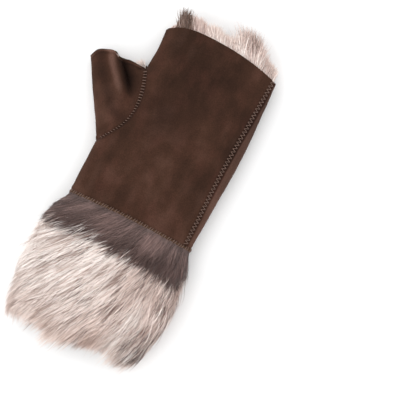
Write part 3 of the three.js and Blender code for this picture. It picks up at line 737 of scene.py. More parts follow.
# Light and shade painted into the suede's colour: how much lighter (above 0, painted light) or darker (below 0,
# painted shade), at what distance from its line, and over what width. The palm rows are darker patches, and uneven is
# the nap's random tone.
paintedLightAndNap = {
    # painted shade in the side seam's groove and along its edge
    "seamEdge": (-0.5, 1.9, 0.8),  # from the side seam
    "seamGroove": (-0.3, 0, 2.2),
    # painted highlight on the ridge beside the thumb's fold, and painted shade in the hollow left of it, over the web
    # and in the valley
    "ridge": (0.6, -8, 3.2),  # from the thumb's fold
    "tubeHollow": (-0.45, -18, 5),
    "web": (-0.65, 5, 6),
    "valley": (-0.85, 0, 3),
    # painted highlight along the thumb's cut edge, painted shadow under it, and painted shade beside the thumb's seam
    "rim": (0.7, 1.3, 0.6),  # from the thumb's cut edge
    "rimShadow": (-0.35, 2.9, 0.8),
    "thumbSeam": (-0.45, -1.2, 1.1),  # from the thumb's seam
    # painted light over the strip right of the side seam, lighter where it turns away
    "strip": 0.34,  # all over the strip right of the side seam
    "palm": ((-0.55, -12, 94, 24, 24), (-0.2, 20, 135, 30, 22)),  # amount, x, y, half width and half length
    "uneven": 0.1,
}


def worn(name, away):
    amount, at, width = paintedLightAndNap[name]
    return amount * bell((away - at) / width)


def paintedLightAndNapAt(points, up):
    # how much lighter (above 0) or darker (below 0): painted light and shade along seams, folds and the thumb's edge,
    # darker palm patches and the nap's random tone
    x, y, z = points.T
    side = x - sideSeamX(np.clip(y / handLength, 0, 1))
    seam = thumbSide(x, y, z)
    across, share = nearLine(x, y, foldLine)
    rim = thumbRim(x, y)
    rub = paintedLightAndNap["strip"] * fade(1.6, 3.4, side) * fade(handLength + 4, handLength - 30, y)
    rub += worn("seamEdge", side) + worn("seamGroove", side)
    onThumb = fade(-1, 5, seam) * fade(thumb["start"] + 10, thumb["start"] + 30, y)
    rub += onThumb * (fade(0.95, 0.6, share) * worn("ridge", across) + worn("tubeHollow", across))
    rub += foldShare(share) * (worn("web", across) + worn("valley", across))
    rub += fade(-1, 5, seam) * (worn("rim", rim) + worn("rimShadow", rim)) + worn("thumbSeam", seam)
    for amount, atX, atY, halfX, halfY in paintedLightAndNap["palm"]:
        rub += amount * bell(np.hypot((x - atX) / halfX, (y - atY) / halfY))
    rub += paintedLightAndNap["uneven"] * softNoise(points * np.array([1, 0.5, 1]), 9, 31)
    return np.clip(rub * fade(0.0, 0.4, up), -1, 1)


def dressSkin(mesh):
    # adds the relief and the map of painted light and shade, and keeps the skin above the table
    points, normals = ownPoints(mesh), ownNormals(mesh)
    up = normals[:, 2]
    rub = mesh.attributes.new("rub", "FLOAT", "POINT")
    rub.data.foreach_set("value", paintedLightAndNapAt(points, up).astype(np.float32))
    moved = points + normals * suedeRelief(points, up)[:, None]
    moved[:, 2] = np.maximum(moved[:, 2], 0)
    movePoints(mesh, moved)


def sewnSkin(name, mesh, way):
    # a skin cut along the thumb's seam, on the thumb's side where way is 1 and on the hand's where it is -1
    trimSkin(mesh, lambda p: way * thumbSide(*p.T) - panel["seamHalfGap"], panel["fineBesideCut"])
    dressSkin(mesh)
    piece = newPiece(name, mesh, [suede, innerHide, shadedCutEdge])
    makeHide(piece, mitten["hide"])
    return piece


def makePanel():
    rings = []
    for along in np.linspace(0, 1, panel["rings"]):
        left, right = -handLeft(along) * halfWrist, handRight(along) * halfWrist
        half = (right - left) / 2
        lengths = outline(half, (handHigh(along) - handLow(along)) * handHeight / 2)
        across = (sideSeamX(along) - (left + right) / 2) / half
        seamAt = np.interp(math.acos(across ** (mitten["sectionFlat"] / 2)), fineAngles, lengths)
        rest = np.linspace(seamOffsets[-1], lengths[-1] + seamOffsets[0], panel["restColumns"] + 2)[1:-1]
        places = (seamAt + np.concatenate([seamOffsets, rest])) % lengths[-1]
        rings.append(handSurface(np.full(places.shape, along), np.interp(places, lengths, fineAngles)))
    return sewnSkin("suede_hand", gridMesh("suede_hand", np.array(rings)), -1)


tube = {
    "rings": 84,
    "columns": 150,
    "from": -0.12,  # a little under the palm, before the seam cuts it
    "halfTall": 0.42 * handHeight,
}
tubeOutline = outline(halfWrist / 2, tube["halfTall"])


def makeThumb():
    places = np.arange(tube["columns"]) / tube["columns"] * tubeOutline[-1]
    angles = np.interp(places, tubeOutline, fineAngles)
    alongs, turns = np.meshgrid(np.linspace(tube["from"], 1, tube["rings"]), angles, indexing="ij")
    return sewnSkin("suede_thumb", gridMesh("suede_thumb", thumbSurface(alongs, turns)), 1)


hand = makePanel()
thumbTube = makeThumb()
print("suede hand and thumb made", len(hand.data.polygons), len(thumbTube.data.polygons))

# The skin of the cuff
cuffSkin = {"rings": 40, "columns": 180, "waveHeight": 0.5, "waveSize": 22}


def makeCuffSkin():
    angles = angleAround(np.arange(cuffSkin["columns"]) / cuffSkin["columns"] * cuffPerimeter)
    below, turns = np.meshgrid(np.linspace(0.1, mitten["cuffLength"], cuffSkin["rings"]), angles, indexing="ij")
    mesh = gridMesh("cuff_skin", furSurface(below, turns, 0.0), reverse=True)
    points, normals = ownPoints(mesh), ownNormals(mesh)
    waves = cuffSkin["waveHeight"] * (softNoise(points, cuffSkin["waveSize"], 5) - 1)
    movePoints(mesh, points + normals * waves[:, None])
    piece = newPiece("cuff_skin", mesh, [innerHide, innerHide, shadedCutEdge])
    makeHide(piece, mitten["hide"])
    return piece


skin = makeCuffSkin()


def strandMesh(name, paths, outwards, widths, roll, maps, material):
    # one tapered ribbon for each path, its flat side outwards and turned by its own roll
    count, stations = paths.shape[:2]
    ways = np.gradient(paths, axis=1)
    ways /= np.linalg.norm(ways, axis=-1, keepdims=True) + 1e-9
    side = np.cross(ways, outwards)
    side /= np.linalg.norm(side, axis=-1, keepdims=True) + 1e-9
    face = np.cross(side, ways)
    side = side * np.cos(roll)[:, None, None] + face * np.sin(roll)[:, None, None]
    along = np.linspace(0, 1, stations)
    taper = (0.6 + 1.6 * along) * (1 - along) ** 0.75
    half = 0.5 * widths[:, None] * (taper / taper.max())
    left = paths - side * half[..., None]
    right = paths + side * half[..., None]
    body = np.stack([left[:, :-1], right[:, :-1]], axis=2).reshape(count, -1, 3)
    verts = np.concatenate([body, paths[:, -1:]], axis=1)
    each = verts.shape[1]
    quad = [[2 * i, 2 * i + 1, 2 * i + 3, 2 * i + 2] for i in range(stations - 2)]
    pattern = np.array([c for q in quad for c in q] + [each - 3, each - 2, each - 1])
    loops = (pattern[None] + np.arange(count)[:, None] * each).ravel()
    starts = (np.arange(stations - 1)[None] * 4 + np.arange(count)[:, None] * len(pattern)).ravel()
    mesh = bpy.data.meshes.new(name)
    mesh.vertices.add(count * each)
    mesh.vertices.foreach_set("co", toFrame(verts.reshape(-1, 3)).astype(np.float32).ravel())
    mesh.loops.add(len(loops))
    mesh.loops.foreach_set("vertex_index", loops.astype(np.int32))
    mesh.polygons.add(count * (stations - 1))
    mesh.polygons.foreach_set("loop_start", starts.astype(np.int32))
    smoothFaces(mesh)
    mesh.update(calc_edges=True)
    station = np.concatenate([np.repeat(np.arange(stations - 1), 2), [stations - 1]])
    for layer, (u, v) in maps.items():
        writeMap(mesh, layer, u[:, station][:, pattern].ravel(), v[:, station][:, pattern].ravel())
    return newPiece(name, mesh, [material])


# The fur of the cuff
cuffFur = {
    "hairs": 78000,
    "flyaways": 5000,
    "stations": 5,
    "length": 42,
    "leftLength": 1.2,  # hairs at the left fold are longer by this
    "lowLength": 0.24,  # and those at the lower middle by this share more
    "seamLength": 0.66,  # and those at the seam as short as this
    "width": 0.54,
    "flyawayWidth": 0.62,
    "seamWidth": 0.75,
    "rootsTo": 80,
    "besideSeam": 0.17,  # share of the hairs that start close below the seam
    "besideEnd": 0.14,
    "undersideShare": 0.2,  # because it is pressed on the table
    "pieces": 5,
    "seed": 11,
}
locks = {"count": 420, "pull": 0.38, "lean": 3.5, "length": (0.88, 1.06), "rise": (0.7, 1.0)}
# thin bundles that the locks are made of
wisps = {
    "kinds": 16384,
    "width": 1.25,
    "length": 13,
    "pull": 0.74,
    "dark": 0.13,  # share of them
    "flicks": 0.42,  # share of them that is dark over a short part of their length
    "flickDepth": (0.4, 1.0),
    "lengths": (0.74, 1.06),
    "rise": (0.6, 1.0),
    "bandShift": 3.4,
}
# palest in a strip at the lower right, beside a dark bundle at the right edge; lighter at the left and darker at the
# right as painted light from the left
furTone = {
    "base": 0.86,
    "wisps": 0.7,
    "locks": 0.14,
    "hairs": 0.1,
    # painted light falling from the left: lighter at the left, darker at the right
    "left": 0.07,
    "right": -0.36,
    "low": -0.24,
    "strip": 0.1,
    # painted light: the bundle's low end lighter, where its hairs face away from the lamp
    "lowBundle": 0.3,
    "stripAt": (39, 0.12, -58, 8),  # x, how far it leans, y at that x, width
    "bundleAt": (64, 0.27, -50, 11),
}
bandDepth = smoothCurve((-72, 31), (-50, 31), (-32, 26), (-14, 27), (0, 32), (14, 29), (28, 33), (58, 33), (70, 25))
combing = smoothCurve((-1.3, 33), (-.8, 34), (-.4, 36), (.1, 31), (.45, 21), (.85, 6), (1.3, 0))
lowestHair = 0.2  # over the table


def nearestLock(around, below, lockAround, lockBelow):
    # in slices, to spare memory
    nearest = np.zeros(len(around), int)
    step = 8000
    for start in range(0, len(around), step):
        some = slice(start, start + step)
        gap = np.abs(around[some, None] - lockAround[None])
        gap = np.minimum(gap, cuffPerimeter - gap)
        nearest[some] = np.argmin(gap**2 + (0.6 * (below[some, None] - lockBelow[None])) ** 2, axis=1)
    return nearest


def leaningStrip(x, y, row):
    # a strip of other tone that runs down the fur at a slant
    atX, leaning, atY, width = row
    return bell((x - atX - leaning * (y - atY)) / width)


def makeFur():
    rng = np.random.default_rng(cuffFur["seed"])
    stations = cuffFur["stations"]
    hairs = cuffFur["hairs"] + cuffFur["flyaways"]
    loose = np.arange(hairs) >= cuffFur["hairs"]
    count = locks["count"]
    lockAround, lockBelow = rng.random(count) * cuffPerimeter, rng.random(count) * (cuffFur["rootsTo"] + 4) - 2
    lockTone, lockLean = rng.random(count), rng.normal(0, locks["lean"], count)
    lockLength, lockRise = rng.uniform(*locks["length"], count), rng.uniform(*locks["rise"], count)
    # roots: the palm side takes the first half of the way round, and more start near the seam and the lower end
    under = rng.random(hairs) < cuffFur["undersideShare"]
    half = cuffPerimeter / 2
    around = np.where(under, half + rng.random(hairs) * half, rng.random(hairs) * (half + 24) - 12) % cuffPerimeter
    below = 0.4 + rng.random(hairs) * cuffFur["rootsTo"]
    chance = rng.random(hairs)
    below = np.where(chance < cuffFur["besideEnd"], cuffFur["rootsTo"] - rng.random(hairs) * 16, below)
    below = np.where(chance > 1 - cuffFur["besideSeam"], 0.3 + rng.random(hairs) ** 1.5 * 7, below)
    lock = nearestLock(around, below, lockAround, lockBelow)
    rootAcross, rootUp = pillow(angleAround(around))
    comb = combing(rootAcross) + 8 * fade(34, 4, below) + 8 * fade(50, 76, below) * fade(0.2, 0.7, rootAcross)
    lean = np.radians(comb + lockLean[lock] + rng.normal(0, 2.2, hairs) + loose * rng.normal(0, 7, hairs))
    # part of the lean follows the cuff round, and the rest goes straight on past the fold
    follow = 0.55 + 0.35 * np.abs(rootAcross) ** 6
    sideways = np.clip(rootUp * 2.5, -1, 1)
    # wisps lie side by side, each with its own tone and length
    kinds = wisps["kinds"]
    beside = (around - np.tan(lean) * follow * sideways * below) / wisps["width"]
    column = np.floor(beside).astype(int)
    columnShift = rng.random(4096)
    row = np.floor(below / wisps["length"] + columnShift[column % 4096]).astype(int)
    wisp = (column * 7919 + row * 104729) % kinds
    isDark = rng.random(kinds) < wisps["dark"]
    wispTone = np.where(isDark, rng.uniform(0, 0.38, kinds), rng.uniform(0.62, 1, kinds))[wisp] - 0.7
    flickDepth = np.where(rng.random(kinds) < wisps["flicks"], rng.uniform(*wisps["flickDepth"], kinds), 0)[wisp]
    flickAt = rng.integers(1, stations - 1, kinds)[wisp]
    flick = flickDepth[:, None] * (np.arange(stations)[None] == flickAt[:, None]) * ~loose[:, None]
    wispRise = rng.uniform(*wisps["rise"], kinds)[wisp]
    wispLength, wispBand = rng.uniform(*wisps["lengths"], kinds)[wisp], rng.normal(0, 1, kinds)[wisp]
    wispPull = wisps["pull"] * rng.uniform(0.35, 1, kinds)[wisp] * ~loose
    offBeside = (beside - column - 0.5) * wisps["width"]
    offAround = (around - lockAround[lock] + half) % cuffPerimeter - half
    offBelow = below - lockBelow[lock]
    # each hair leaves its root and is drawn to the middle of its lock and its wisp
    s = np.linspace(0, 1, stations)[None]
    flatten = 1 - 0.25 * fade(0.6, 1, s) * (rng.random(hairs) < 0.5)[:, None]
    pull = locks["pull"] * rng.uniform(0.5, 1.0, hairs)[:, None] * s**1.3 * ~loose[:, None]
    length = cuffFur["length"] * lockLength[lock] * wispLength * rng.uniform(0.8, 1.05, hairs)
    length = np.where(loose, cuffFur["length"] * rng.uniform(0.7, 1.0, hairs), length)
    length *= 1 + (cuffFur["leftLength"] - 1) * fade(0.45, -0.7, rootAcross)
    length *= 1 + cuffFur["lowLength"] * bell((rootAcross - 0.1) / 0.35) * fade(52, 72, below)
    length *= cuffFur["seamLength"] + (1 - cuffFur["seamLength"]) * fade(3, 26, below)
    travel = length[:, None] * s * np.cos(lean)[:, None]
    drift = length[:, None] * s * np.sin(lean)[:, None]
    bend = (rng.normal(0, 0.5, hairs) + loose * rng.normal(0, 1.6, hairs))[:, None] * np.sin(s * np.pi * 1.2)
    placeAround = around[:, None] - offAround[:, None] * pull - (offBeside * wispPull)[:, None] * s**0.7
    placeAround = placeAround + drift * (follow * sideways)[:, None] + bend
    placeBelow = np.maximum(below[:, None] - offBelow[:, None] * pull * 0.7 + travel, 0.2)
    angle = angleAround(placeAround)
    rise = rng.uniform(0.25, 1.0, hairs) ** 0.45 * lockRise[lock] * wispRise
    rise = np.where(loose, rng.uniform(0.75, 1.0, hairs) + 0.06 * fade(20, 40, below), rise)
    height = rise[:, None] * flatten * (1 - (1 - s) ** 2.2) + 0.04 * rng.normal(0, 1, hairs)[:, None] * s**2
    paths = furSurface(placeBelow, angle, height)
    paths[..., 0] -= drift * (1 - follow)[:, None] * 0.75
    outwards = furSurface(placeBelow, angle, 1.0) - furSurface(placeBelow, angle, 0.0)
    outwards[..., 1] = 0
    outwards /= np.linalg.norm(outwards, axis=-1, keepdims=True) + 1e-6
    paths[..., 2] = np.maximum(paths[..., 2], lowestHair + rng.random(hairs)[:, None] * 1.4)
    # tone
    x, y = paths[..., 0].mean(axis=1), paths[..., 1].mean(axis=1)
    bundle = leaningStrip(x, y, furTone["bundleAt"]) * fade(-34, -56, y) * (rootUp > -0.2)
    strip = leaningStrip(x, y, furTone["stripAt"]) * fade(-50, -64, y) * (rootUp > -0.2)
    tone = furTone["base"] + furTone["wisps"] * wispTone * (1 + 1.5 * bundle - 0.6 * strip)
    tone += furTone["locks"] * (lockTone[lock] - 0.5) + furTone["hairs"] * (rng.random(hairs) - 0.5)
    # painted light: lighter at the left and darker at the right as light falling from the left, and the bundle's low
    # end lighter
    tone += furTone["left"] * fade(0, -40, x) + furTone["right"] * fade(-6, 36, x) * (1 - strip)
    tone += furTone["strip"] * strip + furTone["low"] * fade(-58, -96, y) * fade(34, 18, x)
    tone += furTone["lowBundle"] * bundle * fade(-72, -96, y)
    tone = np.where(loose & (rng.random(hairs) < 0.3), rng.uniform(0.05, 0.35, hairs), tone)
    tone = np.clip(tone[:, None] - flick * (1 + 0.5 * bundle[:, None]), 0.0, 1)
    tipBrown = fade(66, 108, placeBelow[:, -1]) * rng.uniform(0.1, 0.9, hairs)
    tipBrown = tipBrown * (0.3 + 0.6 * lockTone[lock]) * (0.5 + 0.5 * fade(-34, 8, x))
    tipBrown = np.clip(tipBrown + 0.5 * (rng.random(hairs) < 0.08), 0, 1)
    bandShift = 2.6 * (lockTone[lock] - 0.5) + wisps["bandShift"] * wispBand + rng.normal(0, 1.8, hairs)
    shade = 0.5 + 0.5 * wispTone + 0.35 * (rng.random(hairs) - 0.5)
    bandShade = 0.5 + 0.9 * (rng.random(hairs) - 0.5) + 0.5 * (lockTone[lock] - 0.5) - 0.05 * fade(20, -45, x)
    shade = np.where(y > -24, bandShade, shade)
    down = -paths[..., 1]
    maps = {
        "strand": (np.repeat(s, hairs, axis=0), np.clip(shade[:, None] - 0.3 * flick, 0, 1)),
        "lock": (tone, np.repeat(tipBrown[:, None], stations, axis=1)),
        "place": (down / furLength, (down - bandDepth(paths[..., 0]) - bandShift[:, None]) / furLength),
    }
    widths = cuffFur["width"] * rng.uniform(0.6, 1.2, hairs) * np.where(loose, cuffFur["flyawayWidth"], 1)
    widths = widths * (cuffFur["seamWidth"] + (1 - cuffFur["seamWidth"]) * fade(4, 22, below))
    roll = rng.normal(0, 0.5, hairs)
    # the pieces follow each other down the cuff, their ends mixed
    order = np.argsort(below + 6 * rng.random(hairs), kind="stable")
    made = []
    for part, chosen in enumerate(np.array_split(order, cuffFur["pieces"])):
        picked = {layer: (u[chosen], v[chosen]) for layer, (u, v) in maps.items()}
        made.append(strandMesh(f"cuff_hair_{part + 1}", paths[chosen], outwards[chosen], widths[chosen],
                               roll[chosen], picked, longHair))
    return made


furPieces = makeFur()
print("cuff fur made")

undercoat = {
    "rings": 60,
    "columns": 200,
    "from": 0.6,
    "to": 94,
    "height": 0.32,
    "insideRings": 9,
    "insideHeight": -0.12,
    "lumps": ((0.8, 0.4, 5, 7), (0.5, 0.5, 2.2, 8)),  # height, stretch along the hairs, size and seed
    "tone": 0.4,
}


def makeUndercoat():
    # the dense short wool under the long hair, from the seam to past the hide's end and back up inside it
    angles = angleAround(np.arange(undercoat["columns"]) / undercoat["columns"] * cuffPerimeter)
    end = undercoat["to"]
    outside, turns = np.meshgrid(np.linspace(undercoat["from"], end, undercoat["rings"]), angles, indexing="ij")
    rise = undercoat["height"] * fade(4, 34, outside) * fade(end + 3, end - 14, outside) - 0.02
    back = np.linspace(end, mitten["cuffLength"] + 0.6, undercoat["insideRings"] + 1)[1:]
    inside, turnsBack = np.meshgrid(back, angles, indexing="ij")
    rings = [furSurface(outside, turns, rise), furSurface(inside, turnsBack, undercoat["insideHeight"])]
    mesh = gridMesh("cuff_undercoat", np.concatenate(rings), reverse=True)
    points, normals = ownPoints(mesh), ownNormals(mesh)
    lumps = sum(height * softNoise(points * np.array([1, stretch, 1]), size, seed)
                for height, stretch, size, seed in undercoat["lumps"])
    points = points + normals * lumps[:, None]
    points[:, 2] = np.maximum(points[:, 2], 0.15)
    movePoints(mesh, points)
    smoothFaces(mesh)
    corner = np.zeros(len(mesh.loops), np.int32)
    mesh.loops.foreach_get("vertex_index", corner)
    depth = (-points[:, 1])[corner] / furLength
    tone = np.full(len(corner), undercoat["tone"])
    writeMap(mesh, "strand", tone * 0 + 0.2, tone * 0.4)
    writeMap(mesh, "lock", tone, tone * 0)
    writeMap(mesh, "place", depth, depth - (bandDepth(points[:, 0]) / furLength)[corner])
    return newPiece("cuff_undercoat", mesh, [longHair])


under = makeUndercoat()
print("undercoat made")

innerFur = {
    "hairs": 4200,
    "stations": 5,
    "from": 76,
    "to": 93,
    "length": 22,
    "width": 0.6,
    "drift": 3.5,
    "seed": 17,
}


def makeInnerFur():
    # shorter hairs on the inside below the end of the hide
    rng = np.random.default_rng(innerFur["seed"])
    hairs, stations = innerFur["hairs"], innerFur["stations"]
    s = np.linspace(0, 1, stations)[None]
    around = rng.random(hairs) * cuffPerimeter
    below = innerFur["from"] + rng.random(hairs) * (innerFur["to"] - innerFur["from"])
    length = innerFur["length"] * rng.uniform(0.6, 1.1, hairs)
    inwards = rng.uniform(0.0, 0.2, hairs)[:, None] * np.sin(s * 2.4)
    drift = rng.normal(0, innerFur["drift"], hairs)[:, None] * s
    angle = angleAround(around[:, None] + drift)
    paths = furSurface(below[:, None] + length[:, None] * s, angle, undercoat["insideHeight"] - inwards)
    paths[..., 2] = np.maximum(paths[..., 2], 0.4)
    outwards = np.stack([np.cos(angle), np.zeros_like(angle), np.sin(angle)], axis=-1)
    ones = np.ones((hairs, stations))
    down = -paths[..., 1]
    maps = {
        "strand": (0.3 + 0.7 * ones * s, rng.random(hairs)[:, None] * ones),
        "lock": (rng.uniform(0.2, 0.9, hairs)[:, None] * ones, rng.uniform(0, 0.6, hairs)[:, None] * ones),
        "place": (down / furLength, (down - bandDepth(paths[..., 0])) / furLength),
    }
    widths = innerFur["width"] * rng.uniform(0.6, 1.2, hairs)
    return strandMesh("cuff_inner_hair", paths, outwards, widths, rng.normal(0, 0.6, hairs), maps, longHair)


inner = makeInnerFur()

# The wool at the finger and thumb mouths
mouthWool = {
    "hairs": 19000,
    "stations": 5,
    "depth": 22,
    "reach": 10.5,  # of an ordinary hair past the cut edge
    "width": 0.5,
    "lean": 24,
    "tuftAt": -33,  # x of the dark tuft
    "tuftWidth": 7.6,
    "tuftReach": 17,
    "crestAt": 33,  # x of the long soft crest that comes from the back
    "crestWidth": 9.5,
    "crestReach": 17,
    "thickness": 4.2,
    "inset": 2.2,  # of the roots from the hide's outer face
    "rightReach": 3,  # added between these x, at the right of the mouth
    "rightAt": (34, 52),
    "bareTo": -41,  # left of this x the hide hides the wool
    "leftFrom": -36,
    "seed": 23,
}
# clipped sheepskin wool: shorn to one length, so that its tips make a soft crimped pile, pale with dark tufts
woolLook = {
    **furLook,
    "bandRoot": "#84695b",
    "bandTip": "#5a4337",
    "streak": "#8d7366",
    "taupe": "#bfa49c",
    "pale": "#ecdad2",
    "bright": "#fbf1eb",
    "tip": "#e9d8ce",
}
wool = furMaterial("mouthWool", woolLook)


def makeFingerWool():
    rng = np.random.default_rng(mouthWool["seed"])
    hairs, stations = mouthWool["hairs"], mouthWool["stations"]
    lengths = outline(halfWrist * 0.9, 0.45 * handHeight)
    angle = np.interp(rng.random(hairs) * lengths[-1], lengths, fineAngles)
    s = np.linspace(0, 1, stations)[None]
    rootDepth = rng.random(hairs) ** 1.7 * mouthWool["depth"] + 0.8
    edge = handSurface(np.ones(hairs), angle, mouthWool["inset"])
    edgeX, upperSide = edge[:, 0], np.sin(angle)
    tuft = bell((edgeX - mouthWool["tuftAt"]) / mouthWool["tuftWidth"]) * (upperSide > -0.2)
    crest = bell((edgeX - mouthWool["crestAt"]) / mouthWool["crestWidth"])
    # how far each hair stands past the cut edge
    wander = softNoise(edge, 9, 12)
    reach = mouthWool["reach"] * (1 + 0.35 * wander) + (mouthWool["tuftReach"] - mouthWool["reach"]) * tuft
    reach = reach + mouthWool["crestReach"] * crest + mouthWool["rightReach"] * fade(*mouthWool["rightAt"], edgeX)
    atLeft = 0.3 + 0.7 * fade(mouthWool["bareTo"], mouthWool["leftFrom"], edgeX)
    reach = reach * rng.uniform(0.35, 1.05, hairs) * atLeft
    fullLength = np.where(rootDepth < 9, rootDepth + reach, rng.uniform(7, 11, hairs))
    # the hairs lean to the right and lie against the hide until they pass its edge
    lean = np.clip(mouthWool["lean"] + rng.normal(0, 13, hairs) + 14 * crest, -12, 54)
    leanTo = np.tan(np.radians(lean)) * np.clip(upperSide * 3, -1, 1)
    ahead = -rootDepth[:, None] + fullLength[:, None] * s
    free = np.maximum(ahead, 0)
    along = 1 + ahead / handLength
    rise = (rng.uniform(0.25, 1, hairs) * (1 + 0.8 * fade(0.85, 0.97, np.abs(pillow(angle)[0]))))[:, None]
    inset = mouthWool["inset"] + mouthWool["thickness"] * rise * np.sin(np.minimum(s * 1.9, 1.25)) * 0.9
    inset = inset - free * rng.uniform(-0.25, 0.3, hairs)[:, None]
    shiftX = -(free * 0.8 + 0.25 * (ahead + rootDepth[:, None])) * leanTo[:, None] * np.sign(upperSide)[:, None]
    # their crimp
    depth, turns, start = rng.uniform(0.3, 1.1, hairs), rng.uniform(3, 8, hairs), rng.uniform(0, 6.3, hairs)
    wave = depth[:, None] * np.sin(s * turns[:, None] + start[:, None])
    paths = handSurface(along, angle[:, None] * np.ones((1, stations)), inset)
    keep = np.clip(1 - np.abs(paths[..., 0]) / 70, 0.1, 1)
    paths[..., 0] += shiftX * keep + wave * s
    paths[..., 2] = np.clip(paths[..., 2] + 0.6 * wave * s, 0.6, None)
    outwards = np.zeros_like(paths)
    outwards[..., 0], outwards[..., 2] = np.cos(angle)[:, None], upperSide[:, None]
    # tone
    beside = bell((edgeX + 22) / 9)
    clump = rng.uniform(0, 1, 512)[(np.floor(edgeX / 1.7).astype(int) * 31 + (upperSide > 0)) % 512]
    tone = 0.72 + 0.2 * wander + 0.3 * (clump - 0.5) + rng.normal(0, 0.1, hairs) - 0.5 * tuft - 0.25 * beside
    tone = np.clip(tone[:, None] - 0.52 * crest[:, None] * fade(0.4, 0.8, s), 0.02, 1)
    darkTuft = np.where((tuft > 0.45) & (rng.random(hairs) < 0.8), -1.0, 1.0)
    ones = np.ones((hairs, stations))
    maps = {
        "strand": (0.35 + 0.65 * s * ones, rng.uniform(0.2, 0.8, hairs)[:, None] * ones),
        "lock": (tone, rng.uniform(0, 0.6, hairs)[:, None] * ones),
        "place": (0.15 * ones, darkTuft[:, None] * ones),
    }
    widths = mouthWool["width"] * rng.uniform(0.5, 1.2, hairs)
    return strandMesh("finger_wool", paths, outwards, widths, rng.normal(0, 0.8, hairs), maps, wool)


# the felted bottom of the wool, a lumpy sleeve against the inside of the hide
woolBase = {
    "rings": 14,
    "columns": 150,
    "deepest": 25.5,  # its ends, below the cut edge
    "shallowest": 2.2,
    "inset": 2.1,
    "thickness": 2.4,
    "lumpHeight": 0.35,
    "lumpSize": 3,
    "tone": 0.4,
}


def makeWoolBase():
    rings, columns = woolBase["rings"], woolBase["columns"]
    lengths = outline(halfWrist * 0.9, 0.45 * handHeight)
    angles = np.interp(np.arange(columns) / columns * lengths[-1], lengths, fineAngles)
    alongs = np.linspace(1 - woolBase["deepest"] / handLength, 1 - woolBase["shallowest"] / handLength, rings)
    places, turns = np.meshgrid(alongs, angles, indexing="ij")
    swell = np.sin(np.linspace(0, np.pi, rings)) ** 0.5
    outer = handSurface(places, turns, woolBase["inset"])
    inner = handSurface(places[::-1], turns, woolBase["inset"] + woolBase["thickness"] * swell[::-1, None] + 0.1)
    mesh = gridMesh("finger_wool_base", np.concatenate([outer, inner, outer[:1]]))
    points, normals = ownPoints(mesh), ownNormals(mesh)
    lumps = woolBase["lumpHeight"] * softNoise(points, woolBase["lumpSize"], 15)
    lumps[: rings * columns] = 0
    lumps[-columns:] = 0
    movePoints(mesh, points + normals * lumps[:, None])
    weld(mesh)
    smoothFaces(mesh)
    tone = np.full(len(mesh.loops), woolBase["tone"])
    writeMap(mesh, "strand", tone, tone)
    writeMap(mesh, "lock", tone, tone * 0)
    writeMap(mesh, "place", tone * 0, tone)
    return newPiece("finger_wool_base", mesh, [wool])


thumbWool = {
    "hairs": 4000,
    "stations": 5,
    "inset": 2.3,
    "thickness": 2.4,
    "shallowest": 4.5,  # of the roots, below the cut edge
    "deepest": 14.5,
    "width": 0.42,
    "wispTries": 2600,  # spread all the way round, of which those beside the crotch stay
    "wispReach": 7.5,
    "wispSpread": 10,
    "seed": 31,
}


def makeThumbWool():
    rng = np.random.default_rng(thumbWool["seed"])
    hairs, stations = thumbWool["hairs"] + thumbWool["wispTries"], thumbWool["stations"]
    wisp = np.arange(hairs) >= thumbWool["hairs"]  # pale hairs that stand out at the crotch
    angle = np.interp(rng.random(hairs) * tubeOutline[-1], tubeOutline, fineAngles)
    s = np.linspace(0, 1, stations)[None]
    rim = thumbSurface(np.ones(hairs), angle, thumbWool["inset"])
    fromSeam = thumbSide(rim[:, 0], rim[:, 1], rim[:, 2])
    rootDepth = rng.uniform(thumbWool["shallowest"], thumbWool["deepest"], hairs)
    fullLength = np.minimum(rng.uniform(4.5, 8.5, hairs), rootDepth - 1.6)
    rootDepth = np.where(wisp, rng.uniform(0.8, 5, hairs), rootDepth)
    stand = thumbWool["wispReach"] * rng.uniform(0.35, 1, hairs) * fade(thumbWool["wispSpread"] + 2, 1, fromSeam)
    fullLength = np.where(wisp, rootDepth + stand, fullLength)
    ahead = -rootDepth[:, None] + fullLength[:, None] * s
    rise = rng.uniform(0.4, 1, hairs)[:, None] * np.sin(np.minimum(s * 1.9, 1.4))
    inset = thumbWool["inset"] + thumbWool["thickness"] * rise
    paths = thumbSurface(1 + ahead / thumb["length"], angle[:, None] * np.ones((1, stations)), inset)
    # only the thumb's side of its seam, and of the wisp what stands close to the crotch
    keep = thumbSide(paths[:, 0, 0], paths[:, 0, 1], paths[:, 0, 2]) > np.where(wisp, 0.8, 3.0)
    keep &= ~wisp | (fromSeam > 0.8) & (fromSeam < thumbWool["wispSpread"])
    paths[..., 0] += wisp[:, None] * rng.normal(0.9, 1.4, hairs)[:, None] * s**1.4
    paths[..., 2] += wisp[:, None] * rng.normal(0.0, 0.8, hairs)[:, None] * s
    outwards = np.zeros_like(paths)
    outwards[..., 0], outwards[..., 2] = np.cos(angle)[:, None], np.sin(angle)[:, None]
    tone = np.where(wisp, rng.uniform(0.6, 1.0, hairs), rng.uniform(0.1, 0.75, hairs))
    ones = np.ones((hairs, stations))
    maps = {
        "strand": (0.2 + 0.8 * s * ones, rng.uniform(0.2, 0.8, hairs)[:, None] * ones),
        "lock": (tone[:, None] * ones, ones * 0),
        "place": (0.1 * ones, ones),
    }
    maps = {layer: (u[keep], v[keep]) for layer, (u, v) in maps.items()}
    widths = np.full(keep.sum(), thumbWool["width"])
    return strandMesh("thumb_wool", paths[keep], outwards[keep], widths, rng.normal(0, 0.8, keep.sum()), maps, wool)


fingerWool = makeFingerWool()
fingerBase = makeWoolBase()
thumbPile = makeThumbWool()
print("wool at the mouths made")

